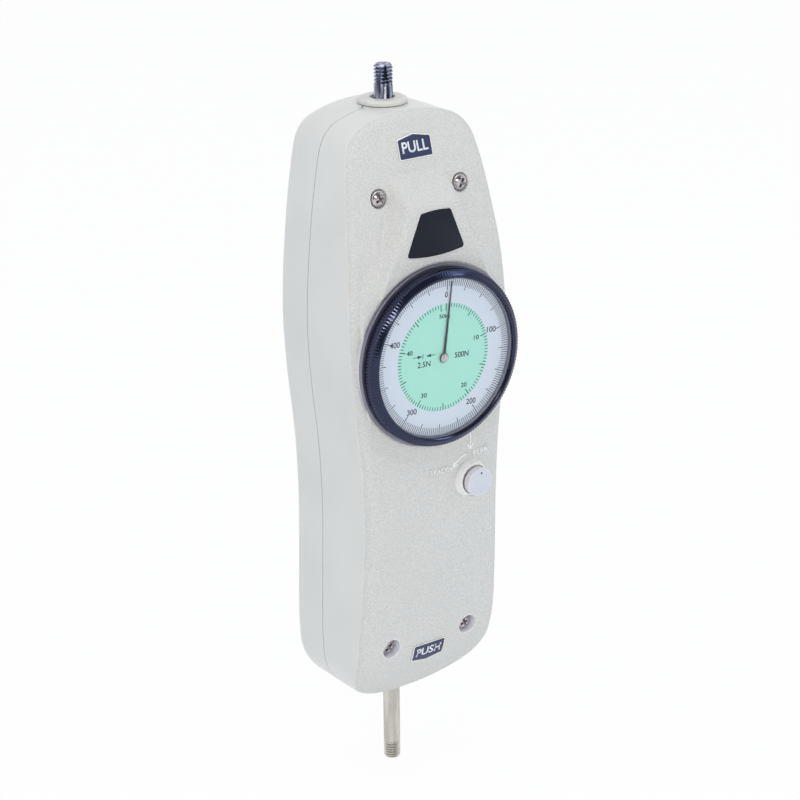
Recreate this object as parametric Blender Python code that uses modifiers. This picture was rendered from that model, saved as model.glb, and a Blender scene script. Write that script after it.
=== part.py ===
# Dial force gauge: two moulded case shells on a steel chassis, a measuring shaft that
# slides against a spring, a rack and gear train that turn the pointer, and a turning dial.
# Metres, +Z up along the measuring shaft, dial facing -Y, origin at the push end's face.
import math

import bmesh
import bpy
from mathutils import Matrix, Vector

MM = 0.001

# Running and seating clearances
GAP = 0.30 * MM
FINE_GAP = 0.15 * MM
OVERRUN = 1.0 * MM
CUTTER_OVERRUN = 6.0 * MM

# Measuring shaft
PULL_REACH = 13.2 * MM
PUSH_ROD_RADIUS = 3.0 * MM
PULL_SHAFT_RADIUS = 3.2 * MM
THREAD_STEP = 0.2 * MM
PULL_THREAD_LENGTH = 7.3 * MM
END_CHAMFER = 0.7 * MM
SHAFT_TRAVEL = 10.0 * MM

# Case outline, seen from the front; heights run up from the push end's face
CASE_BOTTOM = 28.7 * MM
GRIP_LENGTH = 103.4 * MM
CROWN_LENGTH = 28.1 * MM
CASE_SIDE_MARGIN = 0.7 * MM
SIDE_SHARES = (
    (0.108, 0.892), (0.154, 0.900), (0.238, 0.885), (0.354, 0.866), (0.447, 0.884),
    (0.493, 0.910), (0.563, 0.960), (0.609, 0.984), (0.665, 1.000), (0.720, 0.990),
    (0.771, 0.966), (0.850, 0.910), (0.910, 0.850), (0.937, 0.815),
)
CHIN_ARC_RADIUS = 33.3 * MM
CHIN_ARC_HALF_WIDTH = 20.0 * MM
CROWN_ARC_RADIUS = 53.7 * MM
CROWN_ARC_HALF_WIDTH = 18.5 * MM

# Case depth either side of the parting plane, which holds the shaft's axis
FACE_SHARES = (
    (0.000, 0.175), (0.004, 0.205), (0.020, 0.350), (0.052, 0.573), (0.080, 0.718),
    (0.108, 0.822), (0.154, 0.900), (0.238, 0.958), (0.354, 0.998), (0.493, 1.000),
    (0.665, 0.972), (0.771, 0.903), (0.850, 0.784), (0.910, 0.682), (0.948, 0.600),
    (0.976, 0.530), (1.000, 0.485),
)
BACK_CLEARANCE = 3.3 * MM
SEAM_GAP = 0.30 * MM
CASE_WALL = 2.5 * MM
FACE_EDGE_RADIUS_TOP = 2.4 * MM
FACE_EDGE_RADIUS_BOTTOM = 4.2 * MM
BACK_EDGE_RADIUS = 6.5 * MM
INNER_EDGE_RADIUS = 1.2 * MM

# Dial, bezel and crystal; depths are measured from the shaft's axis towards the front
FLANGE_RADIUS = 31.7 * MM
FLANGE_THICKNESS = 1.4 * MM
FLANGE_EDGE = 0.35 * MM
DIAL_SEAT_RISE = 0.1 * MM
DIAL_SEAT_INSET = 1.3 * MM
DIAL_HOLE_RADIUS = 22.3 * MM
JOURNAL_LENGTH = 1.3 * MM
DIAL_BODY_WALL = 2.5 * MM
SPIGOT_LENGTH = 3.0 * MM
BEZEL_INSET = 0.9 * MM
BEZEL_LENGTH = 5.5 * MM
BEZEL_BAND_LENGTH = 3.4 * MM
BEZEL_WALL = 1.9 * MM
BEZEL_SLOPE_WIDTH = 1.9 * MM
BEZEL_EDGE = 0.35 * MM
BEZEL_CREST_WIDTH = 0.6 * MM
BEZEL_LIP_WIDTH = 1.2 * MM
BEZEL_LIP_THICKNESS = 0.45 * MM
BEZEL_LIP_EDGE = 0.15 * MM
CRYSTAL_THICKNESS = 0.7 * MM
DIAL_THICKNESS = 0.7 * MM
DIAL_BORE_RADIUS = 2.2 * MM
SPACER_INSET = 0.2 * MM
SPACER_LENGTH = 1.0 * MM

# Raised nose above the dial and the plates on the face
NOSE_LENGTH = 20.7 * MM
NOSE_RISE = 1.2 * MM
NOSE_THICKNESS = 11.6 * MM
NOSE_TOP_HALF_WIDTH = 9.6 * MM
NOSE_FOOT_RISE = 20.2 * MM
NOSE_FOOT_HALF_WIDTH = 23.6 * MM
NOSE_CORNER_RADIUS = 4.0 * MM
NOSE_SIDE_SLOPE = 0.42
NOSE_RAMP_SLOPE = 0.86
NOSE_EDGE_RADIUS = 1.0 * MM
NOSE_CLEARANCE = 0.5 * MM
BADGE_INSET = 2.7 * MM
BADGE_LENGTH = 13.2 * MM
BADGE_TOP_HALF_WIDTH = 6.0 * MM
BADGE_BOTTOM_HALF_WIDTH = 11.8 * MM
BADGE_CORNER_RADIUS = 1.2 * MM
BADGE_THICKNESS = 0.5 * MM
BADGE_POCKET_DEPTH = 0.4 * MM
BADGE_SAG = 2.0 * MM
PULL_PLATE_DROP = 15.0 * MM
PUSH_PLATE_RISE = 20.3 * MM
PLATE_LENGTH = 6.0 * MM
PLATE_POINT = 1.3 * MM
PLATE_HALF_WIDTH = 6.5 * MM
PLATE_TAPER = 0.3 * MM
PLATE_THICKNESS = 0.3 * MM
PLATE_ROWS = 5

# Peak and track knob
KNOB_X = 14.9 * MM
KNOB_DROP = 16.7 * MM
KNOB_RADIUS = 5.1 * MM
KNOB_LENGTH = 2.9 * MM
KNOB_WALL = 0.9 * MM
KNOB_EDGE = 0.225 * MM
KNOB_STANDOFF = 0.2 * MM
KNOB_TRAVEL = 1.8 * MM
KNOB_SHAFT_RADIUS = 1.5 * MM
KNOB_SHAFT_TAIL = 1.7 * MM
KNOB_BOSS_RISE = 3.2 * MM
KNOB_BOSS_WALL = 0.4 * MM
KNOB_BOSS_FLARE = 1.9 * MM
KNOB_SPRING_RADIUS = 2.5 * MM
KNOB_SPRING_WIRE_RADIUS = 0.22 * MM
KNOB_SPRING_TURNS = 3
CAM_MEAN_RADIUS = 3.4 * MM
CAM_LIFT = 0.9 * MM
CAM_THICKNESS = 1.2 * MM
KNOB_SWEEP = math.radians(60.0)

# Guides where the shaft leaves the case
TOP_BUSH_FLANGE_WIDTH = 2.5 * MM
TOP_BUSH_FLANGE_THICKNESS = 1.7 * MM
TOP_BUSH_BEVEL = 0.7 * MM
TOP_BUSH_MOUTH_GAP = 1.0 * MM
TOP_BUSH_MOUTH_DEPTH = 1.5 * MM
TOP_BUSH_SLEEVE_WALL = 2.5 * MM
TOP_BUSH_SLEEVE_LENGTH = 6.5 * MM
BUSH_PAD_MARGIN = 0.4 * MM
BUSH_PAD_RISE = 0.25 * MM
BOTTOM_BUSH_WALL = 1.0 * MM
BOTTOM_BUSH_LENGTH = 9.0 * MM
BOTTOM_BUSH_INSET = 0.6 * MM

# Screws that hold the case together
SCREW_SHANK_RADIUS = 1.6 * MM
SCREW_HEAD_RADIUS = 3.1 * MM
SCREW_HEAD_HEIGHT = 2.0 * MM
SCREW_CROWN_SHARE = 0.82
SCREW_RIM_SHARE = 0.55
COUNTERBORE_MARGIN = 0.45 * MM
UPPER_SCREW_DROP = 25.8 * MM
UPPER_SCREW_PROUD = 0.27 * MM
LOWER_SCREW_INSET = 0.1 * MM
LOWER_SCREW_RISE = 28.8 * MM
LOWER_SCREW_SINK = 3.93 * MM
CASE_BOSS_WALL = 0.95 * MM
SCREW_TIP_DEPTH = 10.5 * MM

# Chassis inside the rear shell
CHASSIS_THICKNESS = 2.0 * MM
CHASSIS_HALF_WIDTH = 11.5 * MM
CHASSIS_RISE = 27.3 * MM
CHASSIS_DROP = 18.3 * MM
CHASSIS_SCREW_X = 8.0 * MM
CHASSIS_SCREW_INSET = 30.0 * MM
SMALL_SCREW_SHANK_RADIUS = 1.25 * MM
SMALL_SCREW_HEAD_RADIUS = 2.4 * MM
SMALL_SCREW_HEAD_HEIGHT = 1.6 * MM
SMALL_SCREW_LENGTH = 4.6 * MM
SMALL_BOSS_RADIUS = 3.6 * MM
BLOCK_SIDE_INSET = 1.0 * MM
BLOCK_FRONT = 8.0 * MM
BLOCK_HEIGHT = 7.0 * MM
BLOCK_INSET = 5.0 * MM
BLOCK_EDGE = 0.8 * MM
MOUNT_SIDE_GAP = 3.7 * MM
MOUNT_RISE = 46.3 * MM
MOUNT_STANDOFF = 7.0 * MM
MOUNT_BOSS_WALL = 1.5 * MM
MOUNT_BOSS_FLOOR = 1.5 * MM
INSERT_RADIUS = 3.3 * MM
INSERT_BORE_RADIUS = 2.1 * MM
INSERT_LENGTH = 6.5 * MM

# Carriage, collars and spring on the shaft
CARRIAGE_DROP = 24.8 * MM
CARRIAGE_MARGIN = 5.0 * MM
CARRIAGE_HALF_WIDTH = 5.6 * MM
CARRIAGE_HALF_DEPTH = 5.4 * MM
SOCKET_DEPTH = 9.0 * MM
COLLAR_RADIUS = 8.2 * MM
COLLAR_THICKNESS = 3.0 * MM
STOP_COLLAR_RADIUS = 6.0 * MM
STOP_COLLAR_THICKNESS = 5.0 * MM
SPRING_RADIUS = 6.3 * MM
SPRING_WIRE_RADIUS = 1.3 * MM
SPRING_TURNS = 6
SPRING_END_TURNS = 0.9
SPRING_END_PITCH_SHARE = 1.08
RAIL_HALF_WIDTH = 1.6 * MM
RAIL_OVERHANG = 15.0 * MM
RAIL_HEIGHT = 58.0 * MM
RAIL_DEPTH = 2.6 * MM

# Rack and gear train; a module is a pitch diameter over its tooth count
RACK_MODULE = 0.5 * MM
GEAR_MODULE = 0.4 * MM
RACK_PINION_TEETH = 20
TRANSFER_TEETH = 44
POINTER_PINION_TEETH = 14
RACK_TEETH = 14
RACK_BACK = 1.6 * MM
RACK_THICKNESS = 3.0 * MM
TOOTH_ADDENDUM_SHARE = 0.80
TOOTH_DEDENDUM_SHARE = 1.25
TOOTH_TIP_SHARE = 0.15
TOOTH_ROOT_SHARE = 0.31
TRANSFER_X = 9.0 * MM
ARBOR_RADIUS = 0.8 * MM
MOVEMENT_STANDOFF = 0.9 * MM
MOVEMENT_WALL = 1.4 * MM
MOVEMENT_DEPTH = 11.4 * MM
MOVEMENT_CLEARANCE = 1.5 * MM
MOVEMENT_HALF_WIDTH = 21.5 * MM
MOVEMENT_DROP = 22.8 * MM
MOVEMENT_RISE = 24.2 * MM
POST_X = 17.5 * MM
POST_RADIUS = 2.2 * MM
POST_INSET = 5.0 * MM
TRANSFER_GEAR_THICKNESS = 1.8 * MM
POINTER_PINION_LENGTH = 2.6 * MM
RATCHET_RADIUS = 6.4 * MM
RATCHET_TOOTH_DEPTH = 0.55 * MM
RATCHET_TEETH = 32
RATCHET_THICKNESS = 1.2 * MM
BUSH_RADIUS = 2.2 * MM
BUSH_FLANGE_RADIUS = 3.0 * MM
BUSH_FLANGE_THICKNESS = 0.5 * MM
HAIRSPRING_INNER_RADIUS = 1.7 * MM
HAIRSPRING_OUTER_RADIUS = 5.2 * MM
HAIRSPRING_TURNS = 4
HAIRSPRING_WIRE_RADIUS = 0.16 * MM
LEVER_PIVOT_X = 12.6 * MM
LEVER_PIVOT_DROP = 15.3 * MM
LEVER_PIVOT_RADIUS = 1.0 * MM
LEVER_HUB_RADIUS = 2.6 * MM
LEVER_ARM_HALF_WIDTH = 1.1 * MM
LEVER_THICKNESS = 1.2 * MM
LEVER_NOSE_RISE_SHARE = 0.35
LEVER_HUB_START = math.radians(-60.0)
LEVER_HUB_SWEEP = math.radians(135.0)

# Pointer
POINTER_MARGIN = 1.4 * MM
POINTER_HUB_RADIUS = 1.9 * MM
POINTER_ROOT_HALF_WIDTH = 0.55 * MM
POINTER_TIP_HALF_WIDTH = 0.16 * MM
POINTER_THICKNESS = 0.30 * MM
POINTER_CAP_RADIUS = 1.35 * MM
POINTER_CAP_HEIGHT = 0.5 * MM
POINTER_ANGLE = math.radians(7.6)

# Facet counts, and the angles from which an edge is drawn sharp or bevelled
ROUND_STEPS = 18
SMALL_STEPS = 10
DIAL_STEPS = 36
ARC_STEPS = 4
CORNER_STEPS = 3
SIDE_STEPS = 12
EDGE_STEPS = 3
SPRING_POINTS_PER_TURN = 10
SHARP_ANGLE = math.radians(32.0)
SHELL_SHARP_ANGLE = math.radians(40.0)
BEVEL_ANGLE = math.radians(35.0)
MERGE_DISTANCE = 0.01 * MM


# Heights that several pieces share: the case grows from the dial up and down
DIAL_CENTRE_HEIGHT = CASE_BOTTOM + GRIP_LENGTH + FLANGE_RADIUS
NOSE_TOP_HEIGHT = DIAL_CENTRE_HEIGHT + FLANGE_RADIUS + NOSE_LENGTH
NOSE_FOOT_HEIGHT = DIAL_CENTRE_HEIGHT + NOSE_FOOT_RISE
CASE_TOP = NOSE_TOP_HEIGHT + CROWN_LENGTH
CASE_HEIGHT = CASE_TOP - CASE_BOTTOM
SHAFT_LENGTH = CASE_TOP + PULL_REACH
KNOB_HEIGHT = DIAL_CENTRE_HEIGHT - FLANGE_RADIUS - KNOB_DROP
BADGE_TOP_HEIGHT = NOSE_TOP_HEIGHT - BADGE_INSET
BADGE_BOTTOM_HEIGHT = BADGE_TOP_HEIGHT - BADGE_LENGTH
PULL_PLATE_HEIGHT = CASE_TOP - PULL_PLATE_DROP
PUSH_PLATE_HEIGHT = CASE_BOTTOM + PUSH_PLATE_RISE
UPPER_SCREW_HEIGHT = CASE_TOP - UPPER_SCREW_DROP
LOWER_SCREW_HEIGHT = CASE_BOTTOM + LOWER_SCREW_RISE
CHASSIS_BOTTOM = CASE_BOTTOM + CHASSIS_RISE
CHASSIS_TOP = CASE_TOP - CHASSIS_DROP
MOUNT_LOWER_HEIGHT = CASE_BOTTOM + MOUNT_RISE
CARRIAGE_BOTTOM = DIAL_CENTRE_HEIGHT - CARRIAGE_DROP
RAIL_BOTTOM = CARRIAGE_BOTTOM - RAIL_OVERHANG
MOVEMENT_BOTTOM = DIAL_CENTRE_HEIGHT - MOVEMENT_DROP
MOVEMENT_TOP = DIAL_CENTRE_HEIGHT + MOVEMENT_RISE
MOUNT_UPPER_HEIGHT = MOVEMENT_TOP + MOUNT_STANDOFF
LEVER_PIVOT_HEIGHT = DIAL_CENTRE_HEIGHT - LEVER_PIVOT_DROP

# Radii and widths that follow the piece they go round or into
CASE_HALF_WIDTH = FLANGE_RADIUS + CASE_SIDE_MARGIN
DIAL_SEAT_RADIUS = FLANGE_RADIUS - DIAL_SEAT_INSET
DIAL_BODY_BORE_RADIUS = DIAL_HOLE_RADIUS - GAP - DIAL_BODY_WALL
BEZEL_RADIUS = FLANGE_RADIUS - BEZEL_INSET
BEZEL_POCKET_RADIUS = BEZEL_RADIUS - BEZEL_WALL
BEZEL_CREST_RADIUS = BEZEL_RADIUS - BEZEL_SLOPE_WIDTH
BEZEL_LIP_RADIUS = BEZEL_POCKET_RADIUS - BEZEL_LIP_WIDTH
JOURNAL_RADIUS = BEZEL_POCKET_RADIUS - GAP
SPACER_BORE_RADIUS = BEZEL_LIP_RADIUS + SPACER_INSET
POINTER_LENGTH = BEZEL_LIP_RADIUS - POINTER_MARGIN
THREAD_RADIUS = PULL_SHAFT_RADIUS - THREAD_STEP
TOP_BUSH_MOUTH_RADIUS = PULL_SHAFT_RADIUS + TOP_BUSH_MOUTH_GAP
TOP_BUSH_SLEEVE_RADIUS = PULL_SHAFT_RADIUS + GAP + TOP_BUSH_SLEEVE_WALL
TOP_BUSH_FLANGE_RADIUS = TOP_BUSH_SLEEVE_RADIUS + TOP_BUSH_FLANGE_WIDTH
BUSH_PAD_RADIUS = TOP_BUSH_FLANGE_RADIUS + BUSH_PAD_MARGIN
BOTTOM_BUSH_RADIUS = PUSH_ROD_RADIUS + GAP + BOTTOM_BUSH_WALL
KNOB_BOSS_FRONT_RADIUS = KNOB_RADIUS + GAP + KNOB_BOSS_WALL
KNOB_BOSS_ROOT_RADIUS = KNOB_BOSS_FRONT_RADIUS + KNOB_BOSS_FLARE
COUNTERBORE_RADIUS = SCREW_HEAD_RADIUS + COUNTERBORE_MARGIN
CASE_BOSS_RADIUS = COUNTERBORE_RADIUS + CASE_BOSS_WALL
UPPER_SCREW_X = CHASSIS_HALF_WIDTH + 2 * GAP + CASE_BOSS_RADIUS
LOWER_SCREW_X = UPPER_SCREW_X - LOWER_SCREW_INSET
BLOCK_HALF_WIDTH = CHASSIS_HALF_WIDTH - BLOCK_SIDE_INSET
MOUNT_BOSS_RADIUS = INSERT_RADIUS + MOUNT_BOSS_WALL
MOUNT_X = CHASSIS_HALF_WIDTH + MOUNT_SIDE_GAP + MOUNT_BOSS_RADIUS

# Depths behind the shaft's axis, from the collar on the shaft out to the back
CHASSIS_FRONT = COLLAR_RADIUS + GAP + RAIL_DEPTH + 2 * GAP
CHASSIS_REAR = CHASSIS_FRONT + CHASSIS_THICKNESS
BACK_DEPTH = CHASSIS_REAR + BACK_CLEARANCE + CASE_WALL
MOUNT_BOSS_DEPTH = INSERT_LENGTH + 2 * GAP + MOUNT_BOSS_FLOOR

# Depths before the shaft's axis, from the carriage and the movement out to the dial
RACK_FRONT_DEPTH = CARRIAGE_HALF_DEPTH + GAP + RACK_THICKNESS
MOVEMENT_REAR_DEPTH = RACK_FRONT_DEPTH + MOVEMENT_STANDOFF
MOVEMENT_FRONT_DEPTH = MOVEMENT_REAR_DEPTH + MOVEMENT_DEPTH
MOVEMENT_INNER_REAR = MOVEMENT_REAR_DEPTH + MOVEMENT_WALL
MOVEMENT_INNER_FRONT = MOVEMENT_FRONT_DEPTH - MOVEMENT_WALL
TRAIN_DEPTH = MOVEMENT_INNER_REAR + BUSH_FLANGE_THICKNESS + GAP
RATCHET_DEPTH = TRAIN_DEPTH + POINTER_PINION_LENGTH + GAP
HAIRSPRING_DEPTH = RATCHET_DEPTH + RATCHET_THICKNESS + GAP + HAIRSPRING_WIRE_RADIUS
DIAL_SEAT_DEPTH = MOVEMENT_FRONT_DEPTH + MOVEMENT_CLEARANCE + 2 * CASE_WALL
FACE_DEPTH = DIAL_SEAT_DEPTH - DIAL_SEAT_RISE
NOSE_DEPTH = FACE_DEPTH + NOSE_RISE
NOSE_ROOT_DEPTH = NOSE_DEPTH - NOSE_THICKNESS
FLANGE_REAR_DEPTH = DIAL_SEAT_DEPTH + GAP
FLANGE_FRONT_DEPTH = FLANGE_REAR_DEPTH + FLANGE_THICKNESS
BEZEL_REAR_DEPTH = FLANGE_FRONT_DEPTH + GAP
BEZEL_FRONT_DEPTH = BEZEL_REAR_DEPTH + BEZEL_LENGTH
CRYSTAL_FRONT_DEPTH = BEZEL_FRONT_DEPTH - BEZEL_LIP_THICKNESS - FINE_GAP
CRYSTAL_REAR_DEPTH = CRYSTAL_FRONT_DEPTH - CRYSTAL_THICKNESS
SPACER_FRONT_DEPTH = CRYSTAL_REAR_DEPTH - FINE_GAP
SPACER_REAR_DEPTH = SPACER_FRONT_DEPTH - SPACER_LENGTH
DIAL_FRONT_DEPTH = SPACER_REAR_DEPTH - FINE_GAP
DIAL_REAR_DEPTH = DIAL_FRONT_DEPTH - DIAL_THICKNESS
POINTER_REAR_DEPTH = DIAL_FRONT_DEPTH + GAP
POINTER_FRONT_DEPTH = POINTER_REAR_DEPTH + POINTER_THICKNESS
POINTER_CAP_REAR_DEPTH = POINTER_FRONT_DEPTH + FINE_GAP
KNOB_BOSS_FRONT_DEPTH = FACE_DEPTH + KNOB_BOSS_RISE
KNOB_REAR_DEPTH = KNOB_BOSS_FRONT_DEPTH + KNOB_STANDOFF
KNOB_FRONT_DEPTH = KNOB_REAR_DEPTH + KNOB_LENGTH
KNOB_FLOOR_DEPTH = KNOB_REAR_DEPTH - KNOB_TRAVEL - 2 * GAP
KNOB_SHAFT_TAIL_DEPTH = RATCHET_DEPTH - KNOB_SHAFT_TAIL

# The gear train and the heights along the shaft
RACK_LENGTH = math.pi * RACK_MODULE * RACK_TEETH
CARRIAGE_HEIGHT = RACK_LENGTH + CARRIAGE_MARGIN
RACK_PITCH_RADIUS = RACK_MODULE * RACK_PINION_TEETH / 2
TRANSFER_PITCH_RADIUS = GEAR_MODULE * TRANSFER_TEETH / 2
POINTER_PITCH_RADIUS = GEAR_MODULE * POINTER_PINION_TEETH / 2
GEAR_CENTRE_DISTANCE = TRANSFER_PITCH_RADIUS + POINTER_PITCH_RADIUS
TRANSFER_DROP = math.sqrt(GEAR_CENTRE_DISTANCE ** 2 - TRANSFER_X ** 2)
TRANSFER_HEIGHT = DIAL_CENTRE_HEIGHT - TRANSFER_DROP
RACK_PITCH_X = -TRANSFER_X + RACK_PITCH_RADIUS
UPPER_BLOCK_BOTTOM = CHASSIS_TOP - BLOCK_INSET - BLOCK_HEIGHT
LOWER_BLOCK_BOTTOM = CHASSIS_BOTTOM + BLOCK_INSET
COLLAR_BOTTOM = CARRIAGE_BOTTOM + CARRIAGE_HEIGHT + GAP
COLLAR_TOP = COLLAR_BOTTOM + COLLAR_THICKNESS


def material(name, colour, roughness, metallic=0.0, alpha=1.0):
    """A Principled material."""
    made = bpy.data.materials.new(name)
    made.use_nodes = True
    shader = made.node_tree.nodes["Principled BSDF"]
    shader.inputs["Base Color"].default_value = (*colour, 1.0)
    shader.inputs["Roughness"].default_value = roughness
    shader.inputs["Metallic"].default_value = metallic
    shader.inputs["Alpha"].default_value = alpha
    made.diffuse_color = (*colour, alpha)
    return made


def new_collection(name):
    made = bpy.data.collections.new(name)
    bpy.context.scene.collection.children.link(made)
    return made


def add_object(name, mesh, finish):
    """Puts a mesh in the gauge's collection under its own name."""
    made = bpy.data.objects.new(name, mesh)
    PARTS.objects.link(made)
    mesh.materials.append(finish)
    return made


def make_cutter(made):
    """Moves an object to the cutters and leaves it out of the model."""
    PARTS.objects.unlink(made)
    CUTTERS.objects.link(made)
    made.hide_render = True
    made.display_type = "WIRE"
    return made


def apply_boolean(target, tool, operation):
    make_cutter(tool)
    step = target.modifiers.new(tool.name, "BOOLEAN")
    step.operation = operation
    step.solver = "EXACT"
    step.object = tool


def cut(target, tool):
    apply_boolean(target, tool, "DIFFERENCE")


def join(target, tool):
    apply_boolean(target, tool, "UNION")


def finish_mesh(name, bm, finish, smooth_angle=SHARP_ANGLE):
    """Closes a bmesh into a named object with its faces pointing out."""
    bmesh.ops.recalc_face_normals(bm, faces=bm.faces)
    mesh = bpy.data.meshes.new(name)
    bm.to_mesh(mesh)
    bm.free()
    mesh.shade_smooth()
    mesh.set_sharp_from_angle(angle=smooth_angle)
    return add_object(name, mesh, finish)


def turned(name, profile, finish, steps=ROUND_STEPS):
    """Turns (radius, height) points round Z with a Screw modifier.

    The profile runs down the outer side; a bored piece's profile is a closed loop.
    """
    mesh = bpy.data.meshes.new(name)
    closed = profile[0][0] > 0
    vertices = [(radius, 0, height) for radius, height in profile]
    edges = [(i, i + 1) for i in range(len(profile) - 1)]
    if closed:
        edges.append((len(profile) - 1, 0))
    mesh.from_pydata(vertices, edges, [])
    made = add_object(name, mesh, finish)
    screw = made.modifiers.new("Turn", "SCREW")
    screw.steps = steps
    screw.render_steps = steps
    screw.use_merge_vertices = True
    screw.merge_threshold = MERGE_DISTANCE
    screw.use_smooth_shade = True
    return made


def facing_front(made, x, height):
    """Points a turned piece's +Z to the front, so its heights become depths."""
    made.rotation_euler = (math.pi / 2, 0, 0)
    made.location = (x, 0, height)
    return made


def cylinder(name, x, height, rear, front, radius, finish, steps=ROUND_STEPS,
             front_radius=None):
    """A plain or tapered round bar along the depth axis."""
    bm = bmesh.new()
    place = Matrix.Translation((0, -(rear + front) / 2, 0)) @ Matrix.Rotation(math.pi / 2, 4, "X")
    bmesh.ops.create_cone(bm, cap_ends=True, segments=steps, radius1=radius,
                          radius2=front_radius or radius, depth=front - rear, matrix=place)
    made = finish_mesh(name, bm, finish)
    made.location = (x, 0, height)
    return made


def upright_cylinder(name, low, high, radius, finish, steps=ROUND_STEPS):
    """A plain round bar on the shaft's axis."""
    bm = bmesh.new()
    place = Matrix.Translation((0, 0, (low + high) / 2))
    bmesh.ops.create_cone(bm, cap_ends=True, segments=steps, radius1=radius, radius2=radius,
                          depth=high - low, matrix=place)
    return finish_mesh(name, bm, finish)


def box(name, low, high, finish, edge=0):
    """A box between two corners, with bevelled edges if asked."""
    mesh = bpy.data.meshes.new(name)
    bm = bmesh.new()
    bmesh.ops.create_cube(bm, size=1.0)
    size = Vector(high) - Vector(low)
    middle = (Vector(high) + Vector(low)) / 2
    bmesh.ops.scale(bm, vec=size, verts=bm.verts)
    bmesh.ops.translate(bm, vec=middle, verts=bm.verts)
    bm.to_mesh(mesh)
    bm.free()
    made = add_object(name, mesh, finish)
    if edge:
        bevel = made.modifiers.new("Edges", "BEVEL")
        bevel.width = edge
        bevel.segments = 1
        bevel.limit_method = "ANGLE"
    return made


def prism(name, outline, rear, front, finish):
    """Extrudes an (x, z) outline from one depth to another."""
    bm = bmesh.new()
    face = bm.faces.new([bm.verts.new((x, -rear, z)) for x, z in outline])
    grown = bmesh.ops.extrude_face_region(bm, geom=[face])
    moved = [item for item in grown["geom"] if isinstance(item, bmesh.types.BMVert)]
    bmesh.ops.translate(bm, vec=(0, rear - front, 0), verts=moved)
    return finish_mesh(name, bm, finish)


def curve_through(table, value):
    """Reads a smooth curve through a table of (place, amount) shares."""
    last = len(table) - 1
    if value <= table[0][0]:
        return table[0][1]
    if value >= table[last][0]:
        return table[last][1]
    i = max(k for k in range(last) if table[k][0] <= value)
    slopes = []
    for k in (i, i + 1):
        before, after = table[max(k - 1, 0)], table[min(k + 1, last)]
        slopes.append((after[1] - before[1]) / (after[0] - before[0]))
    width = table[i + 1][0] - table[i][0]
    t = (value - table[i][0]) / width
    start = (1 + 2 * t) * (1 - t) ** 2 * table[i][1] + t * (1 - t) ** 2 * width * slopes[0]
    end = t * t * (3 - 2 * t) * table[i + 1][1] + t * t * (t - 1) * width * slopes[1]
    return start + end


def face_depth(height):
    """How far the front face stands out from the shaft's axis at a height."""
    return FACE_DEPTH * curve_through(FACE_SHARES, (height - CASE_BOTTOM) / CASE_HEIGHT)


def face_edge_radius(height):
    share = min(max((height - CASE_BOTTOM) / CASE_HEIGHT, 0), 1)
    return FACE_EDGE_RADIUS_BOTTOM + (FACE_EDGE_RADIUS_TOP - FACE_EDGE_RADIUS_BOTTOM) * share


def blend(start, start_way, end, end_way):
    """Points of a rounded corner between two directions, without its end points."""
    cross = start_way[0] * end_way[1] - start_way[1] * end_way[0]
    across = (end[0] - start[0], end[1] - start[1])
    reach = (across[0] * end_way[1] - across[1] * end_way[0]) / cross
    knee = (start[0] + start_way[0] * reach, start[1] + start_way[1] * reach)
    points = []
    for step in range(1, ARC_STEPS):
        t = step / ARC_STEPS
        points.append(tuple((1 - t) ** 2 * start[k] + 2 * t * (1 - t) * knee[k] + t * t * end[k]
                            for k in (0, 1)))
    return points


def side_point(share):
    half_width = CASE_HALF_WIDTH * curve_through(SIDE_SHARES, share)
    return (half_width, CASE_BOTTOM + CASE_HEIGHT * share)


def half_outline():
    """The case's right half from the front, from bottom centre to top centre."""
    chin = []
    chin_sweep = math.asin(CHIN_ARC_HALF_WIDTH / CHIN_ARC_RADIUS)
    for step in range(ARC_STEPS + 1):
        angle = chin_sweep * step / ARC_STEPS
        chin.append((CHIN_ARC_RADIUS * math.sin(angle),
                     CASE_BOTTOM + CHIN_ARC_RADIUS * (1 - math.cos(angle))))
    crown = []
    crown_sweep = math.asin(CROWN_ARC_HALF_WIDTH / CROWN_ARC_RADIUS)
    for step in range(ARC_STEPS, -1, -1):
        angle = crown_sweep * step / ARC_STEPS
        crown.append((CROWN_ARC_RADIUS * math.sin(angle),
                      CASE_TOP - CROWN_ARC_RADIUS * (1 - math.cos(angle))))
    low, high = SIDE_SHARES[0][0], SIDE_SHARES[-1][0]
    side = [side_point(low + (high - low) * i / SIDE_STEPS) for i in range(SIDE_STEPS + 1)]
    lower = blend(chin[-1], (math.cos(chin_sweep), math.sin(chin_sweep)),
                  side[0], (side[1][0] - side[0][0], side[1][1] - side[0][1]))
    upper = blend(side[-1], (side[-1][0] - side[-2][0], side[-1][1] - side[-2][1]),
                  crown[0], (-math.cos(crown_sweep), math.sin(crown_sweep)))
    return chin + lower + side + upper + crown


def inset(half, distances):
    """Moves a half outline inwards by a distance for each point."""
    moved = []
    last = len(half) - 1
    for i, (x, z) in enumerate(half):
        before, after = half[max(i - 1, 0)], half[min(i + 1, last)]
        along = Vector((after[0] - before[0], after[1] - before[1])).normalized()
        if i in (0, last):
            along = Vector((1 if i == 0 else -1, 0))
        moved.append((x - along.y * distances[i], z + along.x * distances[i]))
    moved[0] = (0, moved[0][1])
    moved[last] = (0, moved[last][1])
    return moved


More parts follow.
